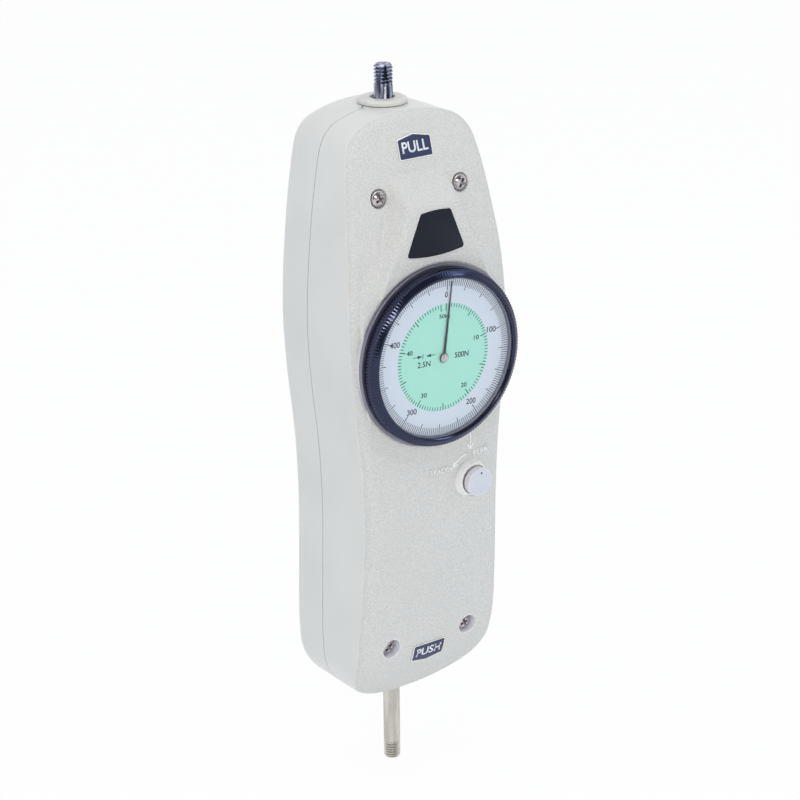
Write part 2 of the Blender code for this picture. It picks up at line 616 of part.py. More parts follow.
def shell_surface(bm, half, seam, depth_at, radius_at, edge_steps, way):
    """Adds one bowl of the case: walls, rounded edge and face. Returns its seam ring."""
    count = 2 * len(half) - 2
    radii = [radius_at(z) for _, z in half]
    rows = [[(x, seam, z) for x, z in half]]
    for step in range(edge_steps + 1):
        angle = math.pi / 2 * step / edge_steps
        drawn = inset(half, [radius * (1 - math.cos(angle)) for radius in radii])
        row = []
        for (x, z), radius in zip(drawn, radii):
            row.append((x, depth_at(z) - radius * (1 - math.sin(angle)), z))
        rows.append(row)
    rings = []
    for row in rows:
        mirrored = [(-x, depth, z) for x, depth, z in reversed(row[1:-1])]
        rings.append([bm.verts.new((x, way * depth, z)) for x, depth, z in row + mirrored])
    for first, second in zip(rings, rings[1:]):
        for i in range(count):
            j = (i + 1) % count
            bm.faces.new((first[i], first[j], second[j], second[i]))
    face = rings[-1]
    top = len(half) - 1
    bm.faces.new((face[0], face[1], face[count - 1]))
    for i in range(1, top - 1):
        bm.faces.new((face[i], face[i + 1], face[count - i - 1], face[count - i]))
    bm.faces.new((face[top - 1], face[top], face[top + 1]))
    return rings[0]


def case_shell(name, depth_at, radius_at, way, finish):
    """One half of the case: an outer and an inner bowl that meet at the parting rim."""
    bm = bmesh.new()
    half = half_outline()
    outer = shell_surface(bm, half, SEAM_GAP / 2, depth_at, radius_at, EDGE_STEPS, way)
    inner_half = inset(half, [CASE_WALL] * len(half))

    def inner_depth(height):
        return max(depth_at(height) - CASE_WALL, SEAM_GAP + INNER_EDGE_RADIUS)

    inner = shell_surface(bm, inner_half, SEAM_GAP / 2, inner_depth,
                          lambda height: INNER_EDGE_RADIUS, 1, way)
    count = len(outer)
    for i in range(count):
        j = (i + 1) % count
        bm.faces.new((outer[i], outer[j], inner[j], inner[i]))
    return finish_mesh(name, bm, finish, SHELL_SHARP_ANGLE)


def rounded_corner(before, corner, after, radius):
    """An arc-like run of points that rounds a corner of an outline."""
    corner_v = Vector(corner)
    start = corner_v + (Vector(before) - corner_v).normalized() * radius
    end = corner_v + (Vector(after) - corner_v).normalized() * radius
    points = []
    for step in range(CORNER_STEPS + 1):
        t = step / CORNER_STEPS
        place = (1 - t) ** 2 * start + 2 * t * (1 - t) * corner_v + t * t * end
        points.append((place.x, place.y))
    return points


def rounded_outline(corners, radius):
    points = []
    count = len(corners)
    for i, corner in enumerate(corners):
        points += rounded_corner(corners[i - 1], corner, corners[(i + 1) % count], radius)
    return points


def nose(name, wall, root, finish):
    """The raised wedge above the dial: a facet, a ramp and two sloping sides.

    The wall is how far it lies inside the outer form, which gives its hollow.
    """
    top = NOSE_TOP_HEIGHT - wall
    right_top = (NOSE_TOP_HALF_WIDTH - wall, top)
    left_top = (wall - NOSE_TOP_HALF_WIDTH, top)
    right_foot = (NOSE_FOOT_HALF_WIDTH - wall, NOSE_FOOT_HEIGHT)
    left_foot = (wall - NOSE_FOOT_HALF_WIDTH, NOSE_FOOT_HEIGHT)
    facet = [right_foot]
    facet += rounded_corner(right_foot, right_top, left_top, NOSE_CORNER_RADIUS)
    facet += rounded_corner(right_top, left_top, left_foot, NOSE_CORNER_RADIUS)
    facet.append(left_foot)
    rise = NOSE_DEPTH - wall - root
    base = []
    count = len(facet)
    for i, (x, z) in enumerate(facet):
        before, after = facet[max(i - 1, 0)], facet[min(i + 1, count - 1)]
        along = Vector((after[0] - before[0], after[1] - before[1])).normalized()
        base.append((x + along.y * rise * NOSE_SIDE_SLOPE,
                     z + max(-along.x, 0) * rise * NOSE_RAMP_SLOPE))
    bm = bmesh.new()
    lower = [bm.verts.new((x, -root, z)) for x, z in base]
    upper = [bm.verts.new((x, wall - NOSE_DEPTH, z)) for x, z in facet]
    for i in range(count):
        j = (i + 1) % count
        bm.faces.new((lower[i], lower[j], upper[j], upper[i]))
    bm.faces.new(upper)
    bm.faces.new(lower)
    return finish_mesh(name, bm, finish)


def nose_on_dial():
    """The nose with softened edges, cut back where the dial's flange turns."""
    made = nose("nose", 0, NOSE_ROOT_DEPTH, CASE_FINISH)
    bevel = made.modifiers.new("Soft edge", "BEVEL")
    bevel.width = NOSE_EDGE_RADIUS
    bevel.segments = 2
    bevel.limit_method = "ANGLE"
    bevel.angle_limit = BEVEL_ANGLE
    cut(made, cylinder("nose_cut", 0, DIAL_CENTRE_HEIGHT, DIAL_SEAT_DEPTH - CASE_WALL / 2,
                       NOSE_DEPTH + CUTTER_OVERRUN, FLANGE_RADIUS + NOSE_CLEARANCE,
                       CASE_FINISH, DIAL_STEPS))
    return made


def badge_outline(margin):
    """The badge's trapezoid, whose lower edge follows the dial, grown by a margin."""
    corners = [(BADGE_BOTTOM_HALF_WIDTH + margin, BADGE_BOTTOM_HEIGHT - margin),
               (BADGE_TOP_HALF_WIDTH + margin, BADGE_TOP_HEIGHT + margin),
               (-BADGE_TOP_HALF_WIDTH - margin, BADGE_TOP_HEIGHT + margin),
               (-BADGE_BOTTOM_HALF_WIDTH - margin, BADGE_BOTTOM_HEIGHT - margin)]
    points = rounded_outline(corners, BADGE_CORNER_RADIUS + margin)
    reach = BADGE_BOTTOM_HALF_WIDTH - BADGE_CORNER_RADIUS
    for step in range(1, ARC_STEPS):
        x = reach * (2 * step / ARC_STEPS - 1)
        lift = BADGE_SAG * (1 - (x / reach) ** 2)
        points.append((x, BADGE_BOTTOM_HEIGHT - margin + lift))
    return points


def screw_places():
    """Each case screw's x, height and the depth of its head's front."""
    upper = face_depth(UPPER_SCREW_HEIGHT) + UPPER_SCREW_PROUD
    lower = face_depth(LOWER_SCREW_HEIGHT) - LOWER_SCREW_SINK
    return [(-UPPER_SCREW_X, UPPER_SCREW_HEIGHT, upper),
            (UPPER_SCREW_X, UPPER_SCREW_HEIGHT, upper),
            (-LOWER_SCREW_X, LOWER_SCREW_HEIGHT, lower),
            (LOWER_SCREW_X, LOWER_SCREW_HEIGHT, lower)]


def bush_pad(target, name, way):
    """Half of the low pad under the top guide's flange."""
    bm = bmesh.new()
    low, high = CASE_TOP - CASE_WALL / 2, CASE_TOP + BUSH_PAD_RISE
    bmesh.ops.create_cone(bm, cap_ends=True, segments=ROUND_STEPS, radius1=BUSH_PAD_RADIUS,
                          radius2=BUSH_PAD_RADIUS, depth=high - low,
                          matrix=Matrix.Translation((0, 0, (low + high) / 2)))
    everything = bm.verts[:] + bm.edges[:] + bm.faces[:]
    bmesh.ops.bisect_plane(bm, geom=everything, plane_co=(0, way * SEAM_GAP, 0),
                           plane_no=(0, way, 0), clear_inner=True)
    bmesh.ops.holes_fill(bm, edges=bm.edges)
    join(target, finish_mesh(name, bm, CASE_FINISH))


def bush_bores(target, tag):
    """The half bores in which the guides sit."""
    for end, level, radius in (("top", CASE_TOP, TOP_BUSH_SLEEVE_RADIUS),
                               ("bottom", CASE_BOTTOM, BOTTOM_BUSH_RADIUS)):
        low = level - CASE_WALL - CUTTER_OVERRUN
        high = level + CASE_WALL + CUTTER_OVERRUN
        cut(target, upright_cylinder(f"{tag}_{end}_bore", low, high, radius + GAP, CASE_FINISH))


def boss_front(height):
    """Where a screw boss ends inside the sloping face."""
    edges = (height - CASE_BOSS_RADIUS, height + CASE_BOSS_RADIUS)
    return min(face_depth(edge) for edge in edges) - FINE_GAP


def front_case():
    """The front shell: face, nose, dial seat, knob boss, screw bosses and bores."""
    shell = case_shell("front_case", face_depth, face_edge_radius, -1, CASE_FINISH)
    join(shell, nose_on_dial())
    cut(shell, nose("nose_hollow", CASE_WALL, NOSE_ROOT_DEPTH - OVERRUN, CASE_FINISH))
    join(shell, cylinder("dial_seat", 0, DIAL_CENTRE_HEIGHT, DIAL_SEAT_DEPTH - 2 * CASE_WALL,
                         DIAL_SEAT_DEPTH, DIAL_SEAT_RADIUS, CASE_FINISH, DIAL_STEPS))
    boss_root = KNOB_FLOOR_DEPTH - 2 * CASE_WALL
    join(shell, cylinder("knob_boss", KNOB_X, KNOB_HEIGHT, boss_root, KNOB_BOSS_FRONT_DEPTH,
                         KNOB_BOSS_ROOT_RADIUS, CASE_FINISH, ROUND_STEPS,
                         KNOB_BOSS_FRONT_RADIUS))
    for i, (x, height, _) in enumerate(screw_places()):
        join(shell, cylinder(f"front_boss_{i + 1}", x, height, SEAM_GAP / 2, boss_front(height),
                             CASE_BOSS_RADIUS, CASE_FINISH, SMALL_STEPS))
    bush_pad(shell, "front_pad", -1)
    for i, (x, height, head) in enumerate(screw_places()):
        floor = head - SCREW_HEAD_HEIGHT - GAP
        cut(shell, cylinder(f"counterbore_{i + 1}", x, height, floor,
                            FACE_DEPTH + CUTTER_OVERRUN, COUNTERBORE_RADIUS, CASE_FINISH))
        cut(shell, cylinder(f"screw_way_{i + 1}", x, height, -OVERRUN, floor + OVERRUN,
                            SCREW_SHANK_RADIUS + GAP, CASE_FINISH, SMALL_STEPS))
    cut(shell, cylinder("dial_hole", 0, DIAL_CENTRE_HEIGHT, NOSE_ROOT_DEPTH - OVERRUN,
                        DIAL_SEAT_DEPTH + CUTTER_OVERRUN, DIAL_HOLE_RADIUS, CASE_FINISH,
                        DIAL_STEPS))
    cut(shell, cylinder("knob_well", KNOB_X, KNOB_HEIGHT, KNOB_FLOOR_DEPTH,
                        KNOB_BOSS_FRONT_DEPTH + CUTTER_OVERRUN, KNOB_RADIUS + GAP, CASE_FINISH))
    cut(shell, cylinder("knob_way", KNOB_X, KNOB_HEIGHT, boss_root - OVERRUN,
                        KNOB_FLOOR_DEPTH + OVERRUN, KNOB_SHAFT_RADIUS + GAP, CASE_FINISH,
                        SMALL_STEPS))
    cut(shell, prism("badge_pocket", badge_outline(GAP), NOSE_DEPTH - BADGE_POCKET_DEPTH,
                     NOSE_DEPTH + CUTTER_OVERRUN, CASE_FINISH))
    bush_bores(shell, "front")
    return shell


def rear_case():
    """The rear shell: flat back, screw bosses, chassis bosses and mounting bosses."""
    shell = case_shell("rear_case", lambda height: BACK_DEPTH,
                       lambda height: BACK_EDGE_RADIUS, 1, CASE_FINISH)
    floor = BACK_DEPTH - CASE_WALL / 2
    for i, (x, height, _) in enumerate(screw_places()):
        join(shell, cylinder(f"rear_boss_{i + 1}", x, height, -floor, -SEAM_GAP / 2,
                             CASE_BOSS_RADIUS, CASE_FINISH, SMALL_STEPS))
    for i, (x, height) in enumerate(chassis_screw_places()):
        join(shell, cylinder(f"chassis_boss_{i + 1}", x, height, -floor, -CHASSIS_REAR - GAP,
                             SMALL_BOSS_RADIUS, CASE_FINISH, SMALL_STEPS))
    for i, (x, height) in enumerate(mount_places()):
        join(shell, cylinder(f"mount_boss_{i + 1}", x, height, -floor,
                             -BACK_DEPTH + MOUNT_BOSS_DEPTH, MOUNT_BOSS_RADIUS, CASE_FINISH,
                             SMALL_STEPS))
    bush_pad(shell, "rear_pad", 1)
    for i, (x, height, _) in enumerate(screw_places()):
        cut(shell, cylinder(f"rear_screw_hole_{i + 1}", x, height, -SCREW_TIP_DEPTH - GAP,
                            OVERRUN, SCREW_SHANK_RADIUS + GAP, CASE_FINISH, SMALL_STEPS))
    for i, (x, height) in enumerate(chassis_screw_places()):
        cut(shell, cylinder(f"chassis_hole_{i + 1}", x, height,
                            -CHASSIS_FRONT - SMALL_SCREW_LENGTH - GAP, -CHASSIS_REAR + OVERRUN,
                            SMALL_SCREW_SHANK_RADIUS + GAP, CASE_FINISH, SMALL_STEPS))
    for i, (x, height) in enumerate(mount_places()):
        cut(shell, cylinder(f"mount_hole_{i + 1}", x, height, -BACK_DEPTH - OVERRUN,
                            -BACK_DEPTH + INSERT_LENGTH + 2 * GAP, INSERT_RADIUS + GAP,
                            CASE_FINISH, SMALL_STEPS))
    bush_bores(shell, "rear")
    return shell


def chassis_screw_places():
    places = []
    for height in (CHASSIS_BOTTOM + CHASSIS_SCREW_INSET, CHASSIS_TOP - CHASSIS_SCREW_INSET):
        places += [(-CHASSIS_SCREW_X, height), (CHASSIS_SCREW_X, height)]
    return places


def mount_places():
    places = []
    for height in (MOUNT_LOWER_HEIGHT, MOUNT_UPPER_HEIGHT):
        places += [(-MOUNT_X, height), (MOUNT_X, height)]
    return places


def bushes():
    """Flanged guides for the shaft at the crown and at the chin."""
    seat = CASE_TOP + BUSH_PAD_RISE + GAP
    top = seat + TOP_BUSH_FLANGE_THICKNESS
    bore = PULL_SHAFT_RADIUS + GAP
    turned("top_bushing", [
        (TOP_BUSH_MOUTH_RADIUS, top),
        (TOP_BUSH_FLANGE_RADIUS - 2 * TOP_BUSH_BEVEL, top),
        (TOP_BUSH_FLANGE_RADIUS, top - TOP_BUSH_BEVEL),
        (TOP_BUSH_FLANGE_RADIUS, seat),
        (TOP_BUSH_SLEEVE_RADIUS, seat),
        (TOP_BUSH_SLEEVE_RADIUS, seat - TOP_BUSH_SLEEVE_LENGTH),
        (bore, seat - TOP_BUSH_SLEEVE_LENGTH),
        (bore, top - TOP_BUSH_MOUTH_DEPTH),
        (TOP_BUSH_MOUTH_RADIUS, top - TOP_BUSH_MOUTH_DEPTH)], BUSH_FINISH)
    low = CASE_BOTTOM + BOTTOM_BUSH_INSET
    high = low + BOTTOM_BUSH_LENGTH
    bore = PUSH_ROD_RADIUS + GAP
    turned("bottom_bushing", [
        (bore, high), (BOTTOM_BUSH_RADIUS, high), (BOTTOM_BUSH_RADIUS, low), (bore, low)],
        BUSH_FINISH)


def machine_screw(name, x, height, head_front, length, way, sizes, finish):
    """A screw along the depth axis; way is 1 when its tip points to the back."""
    shank, head, thickness = sizes
    crown = head * SCREW_CROWN_SHARE
    profile = [(0, thickness), (crown, thickness), (head, thickness * SCREW_RIM_SHARE), (head, 0),
               (shank, 0), (shank, -length), (0, -length)]
    made = turned(name, profile, finish, SMALL_STEPS)
    made.rotation_euler = (math.pi / 2 * way, 0, 0)
    made.location = (x, -(head_front - thickness * way), height)
    return made


def case_screws():
    sizes = (SCREW_SHANK_RADIUS, SCREW_HEAD_RADIUS, SCREW_HEAD_HEIGHT)
    for i, (x, height, head) in enumerate(screw_places()):
        length = head - SCREW_HEAD_HEIGHT + SCREW_TIP_DEPTH
        machine_screw(f"case_screw_{i + 1}", x, height, head, length, 1, sizes, SCREW_FINISH)


def chassis():
    """The chassis plate, its screws, the two guide blocks and the carriage's rail."""
    half = [(CHASSIS_HALF_WIDTH, CHASSIS_BOTTOM), (CHASSIS_HALF_WIDTH, MOVEMENT_BOTTOM),
            (MOVEMENT_HALF_WIDTH, MOVEMENT_BOTTOM), (MOVEMENT_HALF_WIDTH, MOVEMENT_TOP),
            (CHASSIS_HALF_WIDTH, MOVEMENT_TOP), (CHASSIS_HALF_WIDTH, CHASSIS_TOP)]
    outline = half + [(-x, z) for x, z in reversed(half)]
    plate = prism("chassis_plate", outline, -CHASSIS_REAR, -CHASSIS_FRONT, STEEL_FINISH)
    sizes = (SMALL_SCREW_SHANK_RADIUS, SMALL_SCREW_HEAD_RADIUS, SMALL_SCREW_HEAD_HEIGHT)
    head_front = -CHASSIS_FRONT + GAP + SMALL_SCREW_HEAD_HEIGHT
    for i, (x, height) in enumerate(chassis_screw_places()):
        cut(plate, cylinder(f"plate_hole_{i + 1}", x, height, -CHASSIS_REAR - OVERRUN,
                            -CHASSIS_FRONT + OVERRUN, SMALL_SCREW_SHANK_RADIUS + GAP,
                            STEEL_FINISH, SMALL_STEPS))
        machine_screw(f"chassis_screw_{i + 1}", x, height, head_front,
                      SMALL_SCREW_LENGTH + GAP, 1, sizes, SCREW_FINISH)
    for name, bottom, shaft in (("lower_guide_block", LOWER_BLOCK_BOTTOM, PUSH_ROD_RADIUS),
                                ("upper_guide_block", UPPER_BLOCK_BOTTOM, PULL_SHAFT_RADIUS)):
        block = box(name, (-BLOCK_HALF_WIDTH, -BLOCK_FRONT, bottom),
                    (BLOCK_HALF_WIDTH, CHASSIS_FRONT - GAP, bottom + BLOCK_HEIGHT),
                    ALUMINIUM_FINISH, BLOCK_EDGE)
        cut(block, upright_cylinder(f"{name}_bore", bottom - OVERRUN,
                                    bottom + BLOCK_HEIGHT + OVERRUN, shaft + GAP,
                                    ALUMINIUM_FINISH))
        middle = bottom + BLOCK_HEIGHT / 2
        rear_head = CHASSIS_REAR + GAP + SMALL_SCREW_HEAD_HEIGHT
        reach = GAP + CHASSIS_THICKNESS + GAP + SMALL_SCREW_LENGTH
        screw_name = name.replace("guide_block", "block_screw")
        machine_screw(screw_name, 0, middle, -rear_head, reach, -1, sizes, SCREW_FINISH)
        for target, tag in ((plate, "plate"), (block, "block")):
            cut(target, cylinder(f"{screw_name}_{tag}_hole", 0, middle, -CHASSIS_REAR - OVERRUN,
                                 -CHASSIS_FRONT + SMALL_SCREW_LENGTH + 2 * GAP,
                                 SMALL_SCREW_SHANK_RADIUS + GAP, STEEL_FINISH, SMALL_STEPS))
    box("guide_rail", (-RAIL_HALF_WIDTH, CHASSIS_FRONT - GAP - RAIL_DEPTH, RAIL_BOTTOM),
        (RAIL_HALF_WIDTH, CHASSIS_FRONT - GAP, RAIL_BOTTOM + RAIL_HEIGHT), STEEL_FINISH)


def mount_inserts():
    """Threaded inserts in the back, where a stand's screws go."""
    rear = -BACK_DEPTH
    front = rear + INSERT_LENGTH
    profile = [(INSERT_BORE_RADIUS, front), (INSERT_RADIUS, front), (INSERT_RADIUS, rear),
               (INSERT_BORE_RADIUS, rear)]
    for i, (x, height) in enumerate(mount_places()):
        facing_front(turned(f"mount_insert_{i + 1}", profile, BRASS_FINISH, SMALL_STEPS),
                     x, height)


def shaft():
    """The two rods, the carriage that joins them, its collars and the rack."""
    carriage_top = CARRIAGE_BOTTOM + CARRIAGE_HEIGHT
    push_top = CARRIAGE_BOTTOM + SOCKET_DEPTH - GAP
    pull_bottom = carriage_top - SOCKET_DEPTH + GAP
    turned("push_rod", [
        (0, push_top), (PUSH_ROD_RADIUS, push_top), (PUSH_ROD_RADIUS, END_CHAMFER),
        (PUSH_ROD_RADIUS - END_CHAMFER, 0), (0, 0)], ROD_FINISH)
    thread_start = SHAFT_LENGTH - PULL_THREAD_LENGTH
    turned("pull_shaft", [
        (0, SHAFT_LENGTH), (THREAD_RADIUS - END_CHAMFER, SHAFT_LENGTH),
        (THREAD_RADIUS, SHAFT_LENGTH - END_CHAMFER), (THREAD_RADIUS, thread_start + THREAD_STEP),
        (PULL_SHAFT_RADIUS, thread_start), (PULL_SHAFT_RADIUS, pull_bottom),
        (0, pull_bottom)], CHROME_FINISH)
    block = box("carriage_block", (-CARRIAGE_HALF_WIDTH, -CARRIAGE_HALF_DEPTH, CARRIAGE_BOTTOM),
                (CARRIAGE_HALF_WIDTH, CHASSIS_FRONT - RAIL_DEPTH / 2, carriage_top),
                ALUMINIUM_FINISH, BLOCK_EDGE)
    cut(block, upright_cylinder("push_socket", CARRIAGE_BOTTOM - OVERRUN,
                                CARRIAGE_BOTTOM + SOCKET_DEPTH, PUSH_ROD_RADIUS + GAP,
                                ALUMINIUM_FINISH))
    cut(block, upright_cylinder("pull_socket", carriage_top - SOCKET_DEPTH,
                                carriage_top + OVERRUN, PULL_SHAFT_RADIUS + GAP,
                                ALUMINIUM_FINISH))
    rail_front = CHASSIS_FRONT - GAP - RAIL_DEPTH
    cut(block, box("rail_slot", (-RAIL_HALF_WIDTH - GAP, rail_front - GAP,
                                 CARRIAGE_BOTTOM - OVERRUN),
                   (RAIL_HALF_WIDTH + GAP, CHASSIS_FRONT + OVERRUN, carriage_top + OVERRUN),
                   ALUMINIUM_FINISH))
    bore = PULL_SHAFT_RADIUS + GAP
    turned("spring_collar", [
        (bore, COLLAR_TOP), (COLLAR_RADIUS, COLLAR_TOP), (COLLAR_RADIUS, COLLAR_BOTTOM),
        (bore, COLLAR_BOTTOM)], STEEL_FINISH)
    stop_bottom = LOWER_BLOCK_BOTTOM + BLOCK_HEIGHT + GAP
    stop_top = stop_bottom + STOP_COLLAR_THICKNESS
    bore = PUSH_ROD_RADIUS + FINE_GAP
    turned("stop_collar", [
        (bore, stop_top), (STOP_COLLAR_RADIUS, stop_top), (STOP_COLLAR_RADIUS, stop_bottom),
        (bore, stop_bottom)], STEEL_FINISH)


def wire_object(name, points, wire, sides, finish):
    """A bent wire: a round tube with closed ends through a run of points."""
    curve = bpy.data.curves.new(name, "CURVE")
    curve.dimensions = "3D"
    curve.bevel_depth = wire
    curve.bevel_resolution = sides
    curve.use_fill_caps = True
    spline = curve.splines.new("POLY")
    spline.points.add(len(points) - 1)
    for place, point in zip(spline.points, points):
        place.co = (*point, 1)
    made = bpy.data.objects.new(name, curve)
    PARTS.objects.link(made)
    curve.materials.append(finish)
    return made


def coil(name, radius, wire, turns, low, high, sides, finish):
    """A helical compression spring on the Z axis, its end turns lying nearly flat."""
    count = turns * SPRING_POINTS_PER_TURN
    end_lift = 2 * wire * SPRING_END_PITCH_SHARE
    start, end = low + wire, high - wire
    points = []
    for i in range(count + 1):
        turn = turns * i / count
        lower = min(turn, SPRING_END_TURNS)
        upper = max(turn - turns + SPRING_END_TURNS, 0)
        middle = (turn - lower - upper) / (turns - 2 * SPRING_END_TURNS)
        height = start + end_lift * (lower + upper)
        height += (end - start - 2 * end_lift * SPRING_END_TURNS) * middle
        angle = 2 * math.pi * turn
        points.append((radius * math.cos(angle), radius * math.sin(angle), height))
    return wire_object(name, points, wire, sides, finish)


def springs():
    coil("main_spring", SPRING_RADIUS, SPRING_WIRE_RADIUS, SPRING_TURNS, COLLAR_TOP + GAP,
         UPPER_BLOCK_BOTTOM - GAP, 1, SPRING_FINISH)
    knob_spring = coil("knob_spring", KNOB_SPRING_RADIUS, KNOB_SPRING_WIRE_RADIUS,
                       KNOB_SPRING_TURNS, KNOB_FLOOR_DEPTH + GAP,
                       KNOB_FRONT_DEPTH - KNOB_WALL - GAP, 0, SPRING_FINISH)
    facing_front(knob_spring, KNOB_X, KNOB_HEIGHT)


def gear_outline(module, teeth, phase):
    """A spur gear's outline with straight flanks and generous backlash."""
    pitch_radius = module * teeth / 2
    tip = pitch_radius + module * TOOTH_ADDENDUM_SHARE
    root = pitch_radius - module * TOOTH_DEDENDUM_SHARE
    step = 2 * math.pi / teeth
    points = []
    for tooth in range(teeth):
        middle = phase + tooth * step
        for share, radius in ((-TOOTH_ROOT_SHARE, root), (-TOOTH_TIP_SHARE, tip),
                              (TOOTH_TIP_SHARE, tip), (TOOTH_ROOT_SHARE, root)):
            angle = middle + share * step
            points.append((radius * math.sin(angle), radius * math.cos(angle)))
    return points


def rack():
    """The straight toothed bar on the carriage, its teeth towards the pinion."""
    pitch = math.pi * RACK_MODULE
    low = TRANSFER_HEIGHT - (RACK_TEETH - 1) / 2 * pitch - SHAFT_TRAVEL / 2
    tip = RACK_PITCH_X - RACK_MODULE * TOOTH_ADDENDUM_SHARE
    root = RACK_PITCH_X + RACK_MODULE * TOOTH_DEDENDUM_SHARE
    half = pitch / 2
    points = []
    for tooth in range(RACK_TEETH):
        middle = low + tooth * pitch
        points += [(root, middle - TOOTH_ROOT_SHARE * pitch),
                   (tip, middle - TOOTH_TIP_SHARE * pitch),
                   (tip, middle + TOOTH_TIP_SHARE * pitch),
                   (root, middle + TOOTH_ROOT_SHARE * pitch)]
    top = low + (RACK_TEETH - 1) * pitch + half
    points += [(root, top), (root + RACK_BACK, top), (root + RACK_BACK, low - half),
               (root, low - half)]
    prism("rack", points, RACK_FRONT_DEPTH - RACK_THICKNESS, RACK_FRONT_DEPTH, STEEL_FINISH)


def wheel(name, outline, x, height, depths, bore, finish):
    """A toothed or cam-shaped wheel with a round bore, its origin on its axis."""
    rear, front = depths
    made = prism(name, outline, rear, front, finish)
    made.location = (x, 0, height)
    cut(made, cylinder(f"{name}_bore", x, height, rear - OVERRUN, front + OVERRUN, bore, finish,
                       SMALL_STEPS))
    return made


def gear_train():
    """Rack pinion and transfer gear on one arbor, pointer pinion on the other."""
    rack_pitch_angle = math.pi / RACK_PINION_TEETH
    bore = ARBOR_RADIUS + FINE_GAP
    wheel("rack_pinion", gear_outline(RACK_MODULE, RACK_PINION_TEETH,
                                      math.pi / 2 + rack_phase() + rack_pitch_angle),
          -TRANSFER_X, TRANSFER_HEIGHT, (RACK_FRONT_DEPTH - RACK_THICKNESS, RACK_FRONT_DEPTH),
          bore, BRASS_FINISH)
    to_pointer = math.atan2(TRANSFER_X, TRANSFER_DROP)
    gear_rear = TRAIN_DEPTH + (POINTER_PINION_LENGTH - TRANSFER_GEAR_THICKNESS) / 2
    wheel("transfer_gear", gear_outline(GEAR_MODULE, TRANSFER_TEETH, to_pointer),
          -TRANSFER_X, TRANSFER_HEIGHT, (gear_rear, gear_rear + TRANSFER_GEAR_THICKNESS),
          bore, BRASS_FINISH)
    half_tooth = math.pi / POINTER_PINION_TEETH
    wheel("pointer_pinion", gear_outline(GEAR_MODULE, POINTER_PINION_TEETH,
                                         to_pointer + math.pi + half_tooth),
          0, DIAL_CENTRE_HEIGHT, (TRAIN_DEPTH, TRAIN_DEPTH + POINTER_PINION_LENGTH), bore,
          BRASS_FINISH)
    cylinder("transfer_arbor", -TRANSFER_X, TRANSFER_HEIGHT,
             RACK_FRONT_DEPTH - RACK_THICKNESS - FINE_GAP, MOVEMENT_FRONT_DEPTH + GAP,
             ARBOR_RADIUS, STEEL_FINISH, SMALL_STEPS)
    cylinder("pointer_arbor", 0, DIAL_CENTRE_HEIGHT, MOVEMENT_REAR_DEPTH - GAP,
             POINTER_FRONT_DEPTH, ARBOR_RADIUS, STEEL_FINISH, SMALL_STEPS)


def rack_phase():
    """The pinion's turn that puts a gap on the rack tooth nearest the arbor's height."""
    pitch = math.pi * RACK_MODULE
    low = TRANSFER_HEIGHT - (RACK_TEETH - 1) / 2 * pitch - SHAFT_TRAVEL / 2
    offset = (TRANSFER_HEIGHT - low) % pitch
    return offset / RACK_PITCH_RADIUS


def ratchet_and_hairspring():
    """The saw-toothed wheel that the peak lever holds, and the spiral take-up spring."""
    points = []
    step = 2 * math.pi / RATCHET_TEETH
    for tooth in range(RATCHET_TEETH):
        angle = tooth * step
        inner = RATCHET_RADIUS - RATCHET_TOOTH_DEPTH
        points.append((RATCHET_RADIUS * math.sin(angle), RATCHET_RADIUS * math.cos(angle)))
        back = angle + step * TOOTH_TIP_SHARE
        points.append((inner * math.sin(back), inner * math.cos(back)))
    wheel("ratchet_wheel", points, 0, DIAL_CENTRE_HEIGHT,
          (RATCHET_DEPTH, RATCHET_DEPTH + RATCHET_THICKNESS), ARBOR_RADIUS + FINE_GAP,
          STEEL_FINISH)
    count = HAIRSPRING_TURNS * SPRING_POINTS_PER_TURN
    growth = HAIRSPRING_OUTER_RADIUS - HAIRSPRING_INNER_RADIUS
    points = []
    for i in range(count + 1):
        radius = HAIRSPRING_INNER_RADIUS + growth * i / count
        angle = 2 * math.pi * HAIRSPRING_TURNS * i / count
        points.append((radius * math.cos(angle), -HAIRSPRING_DEPTH, radius * math.sin(angle)))
    spiral = wire_object("hairspring", points, HAIRSPRING_WIRE_RADIUS, 0, SPRING_FINISH)
    spiral.location = (0, 0, DIAL_CENTRE_HEIGHT)


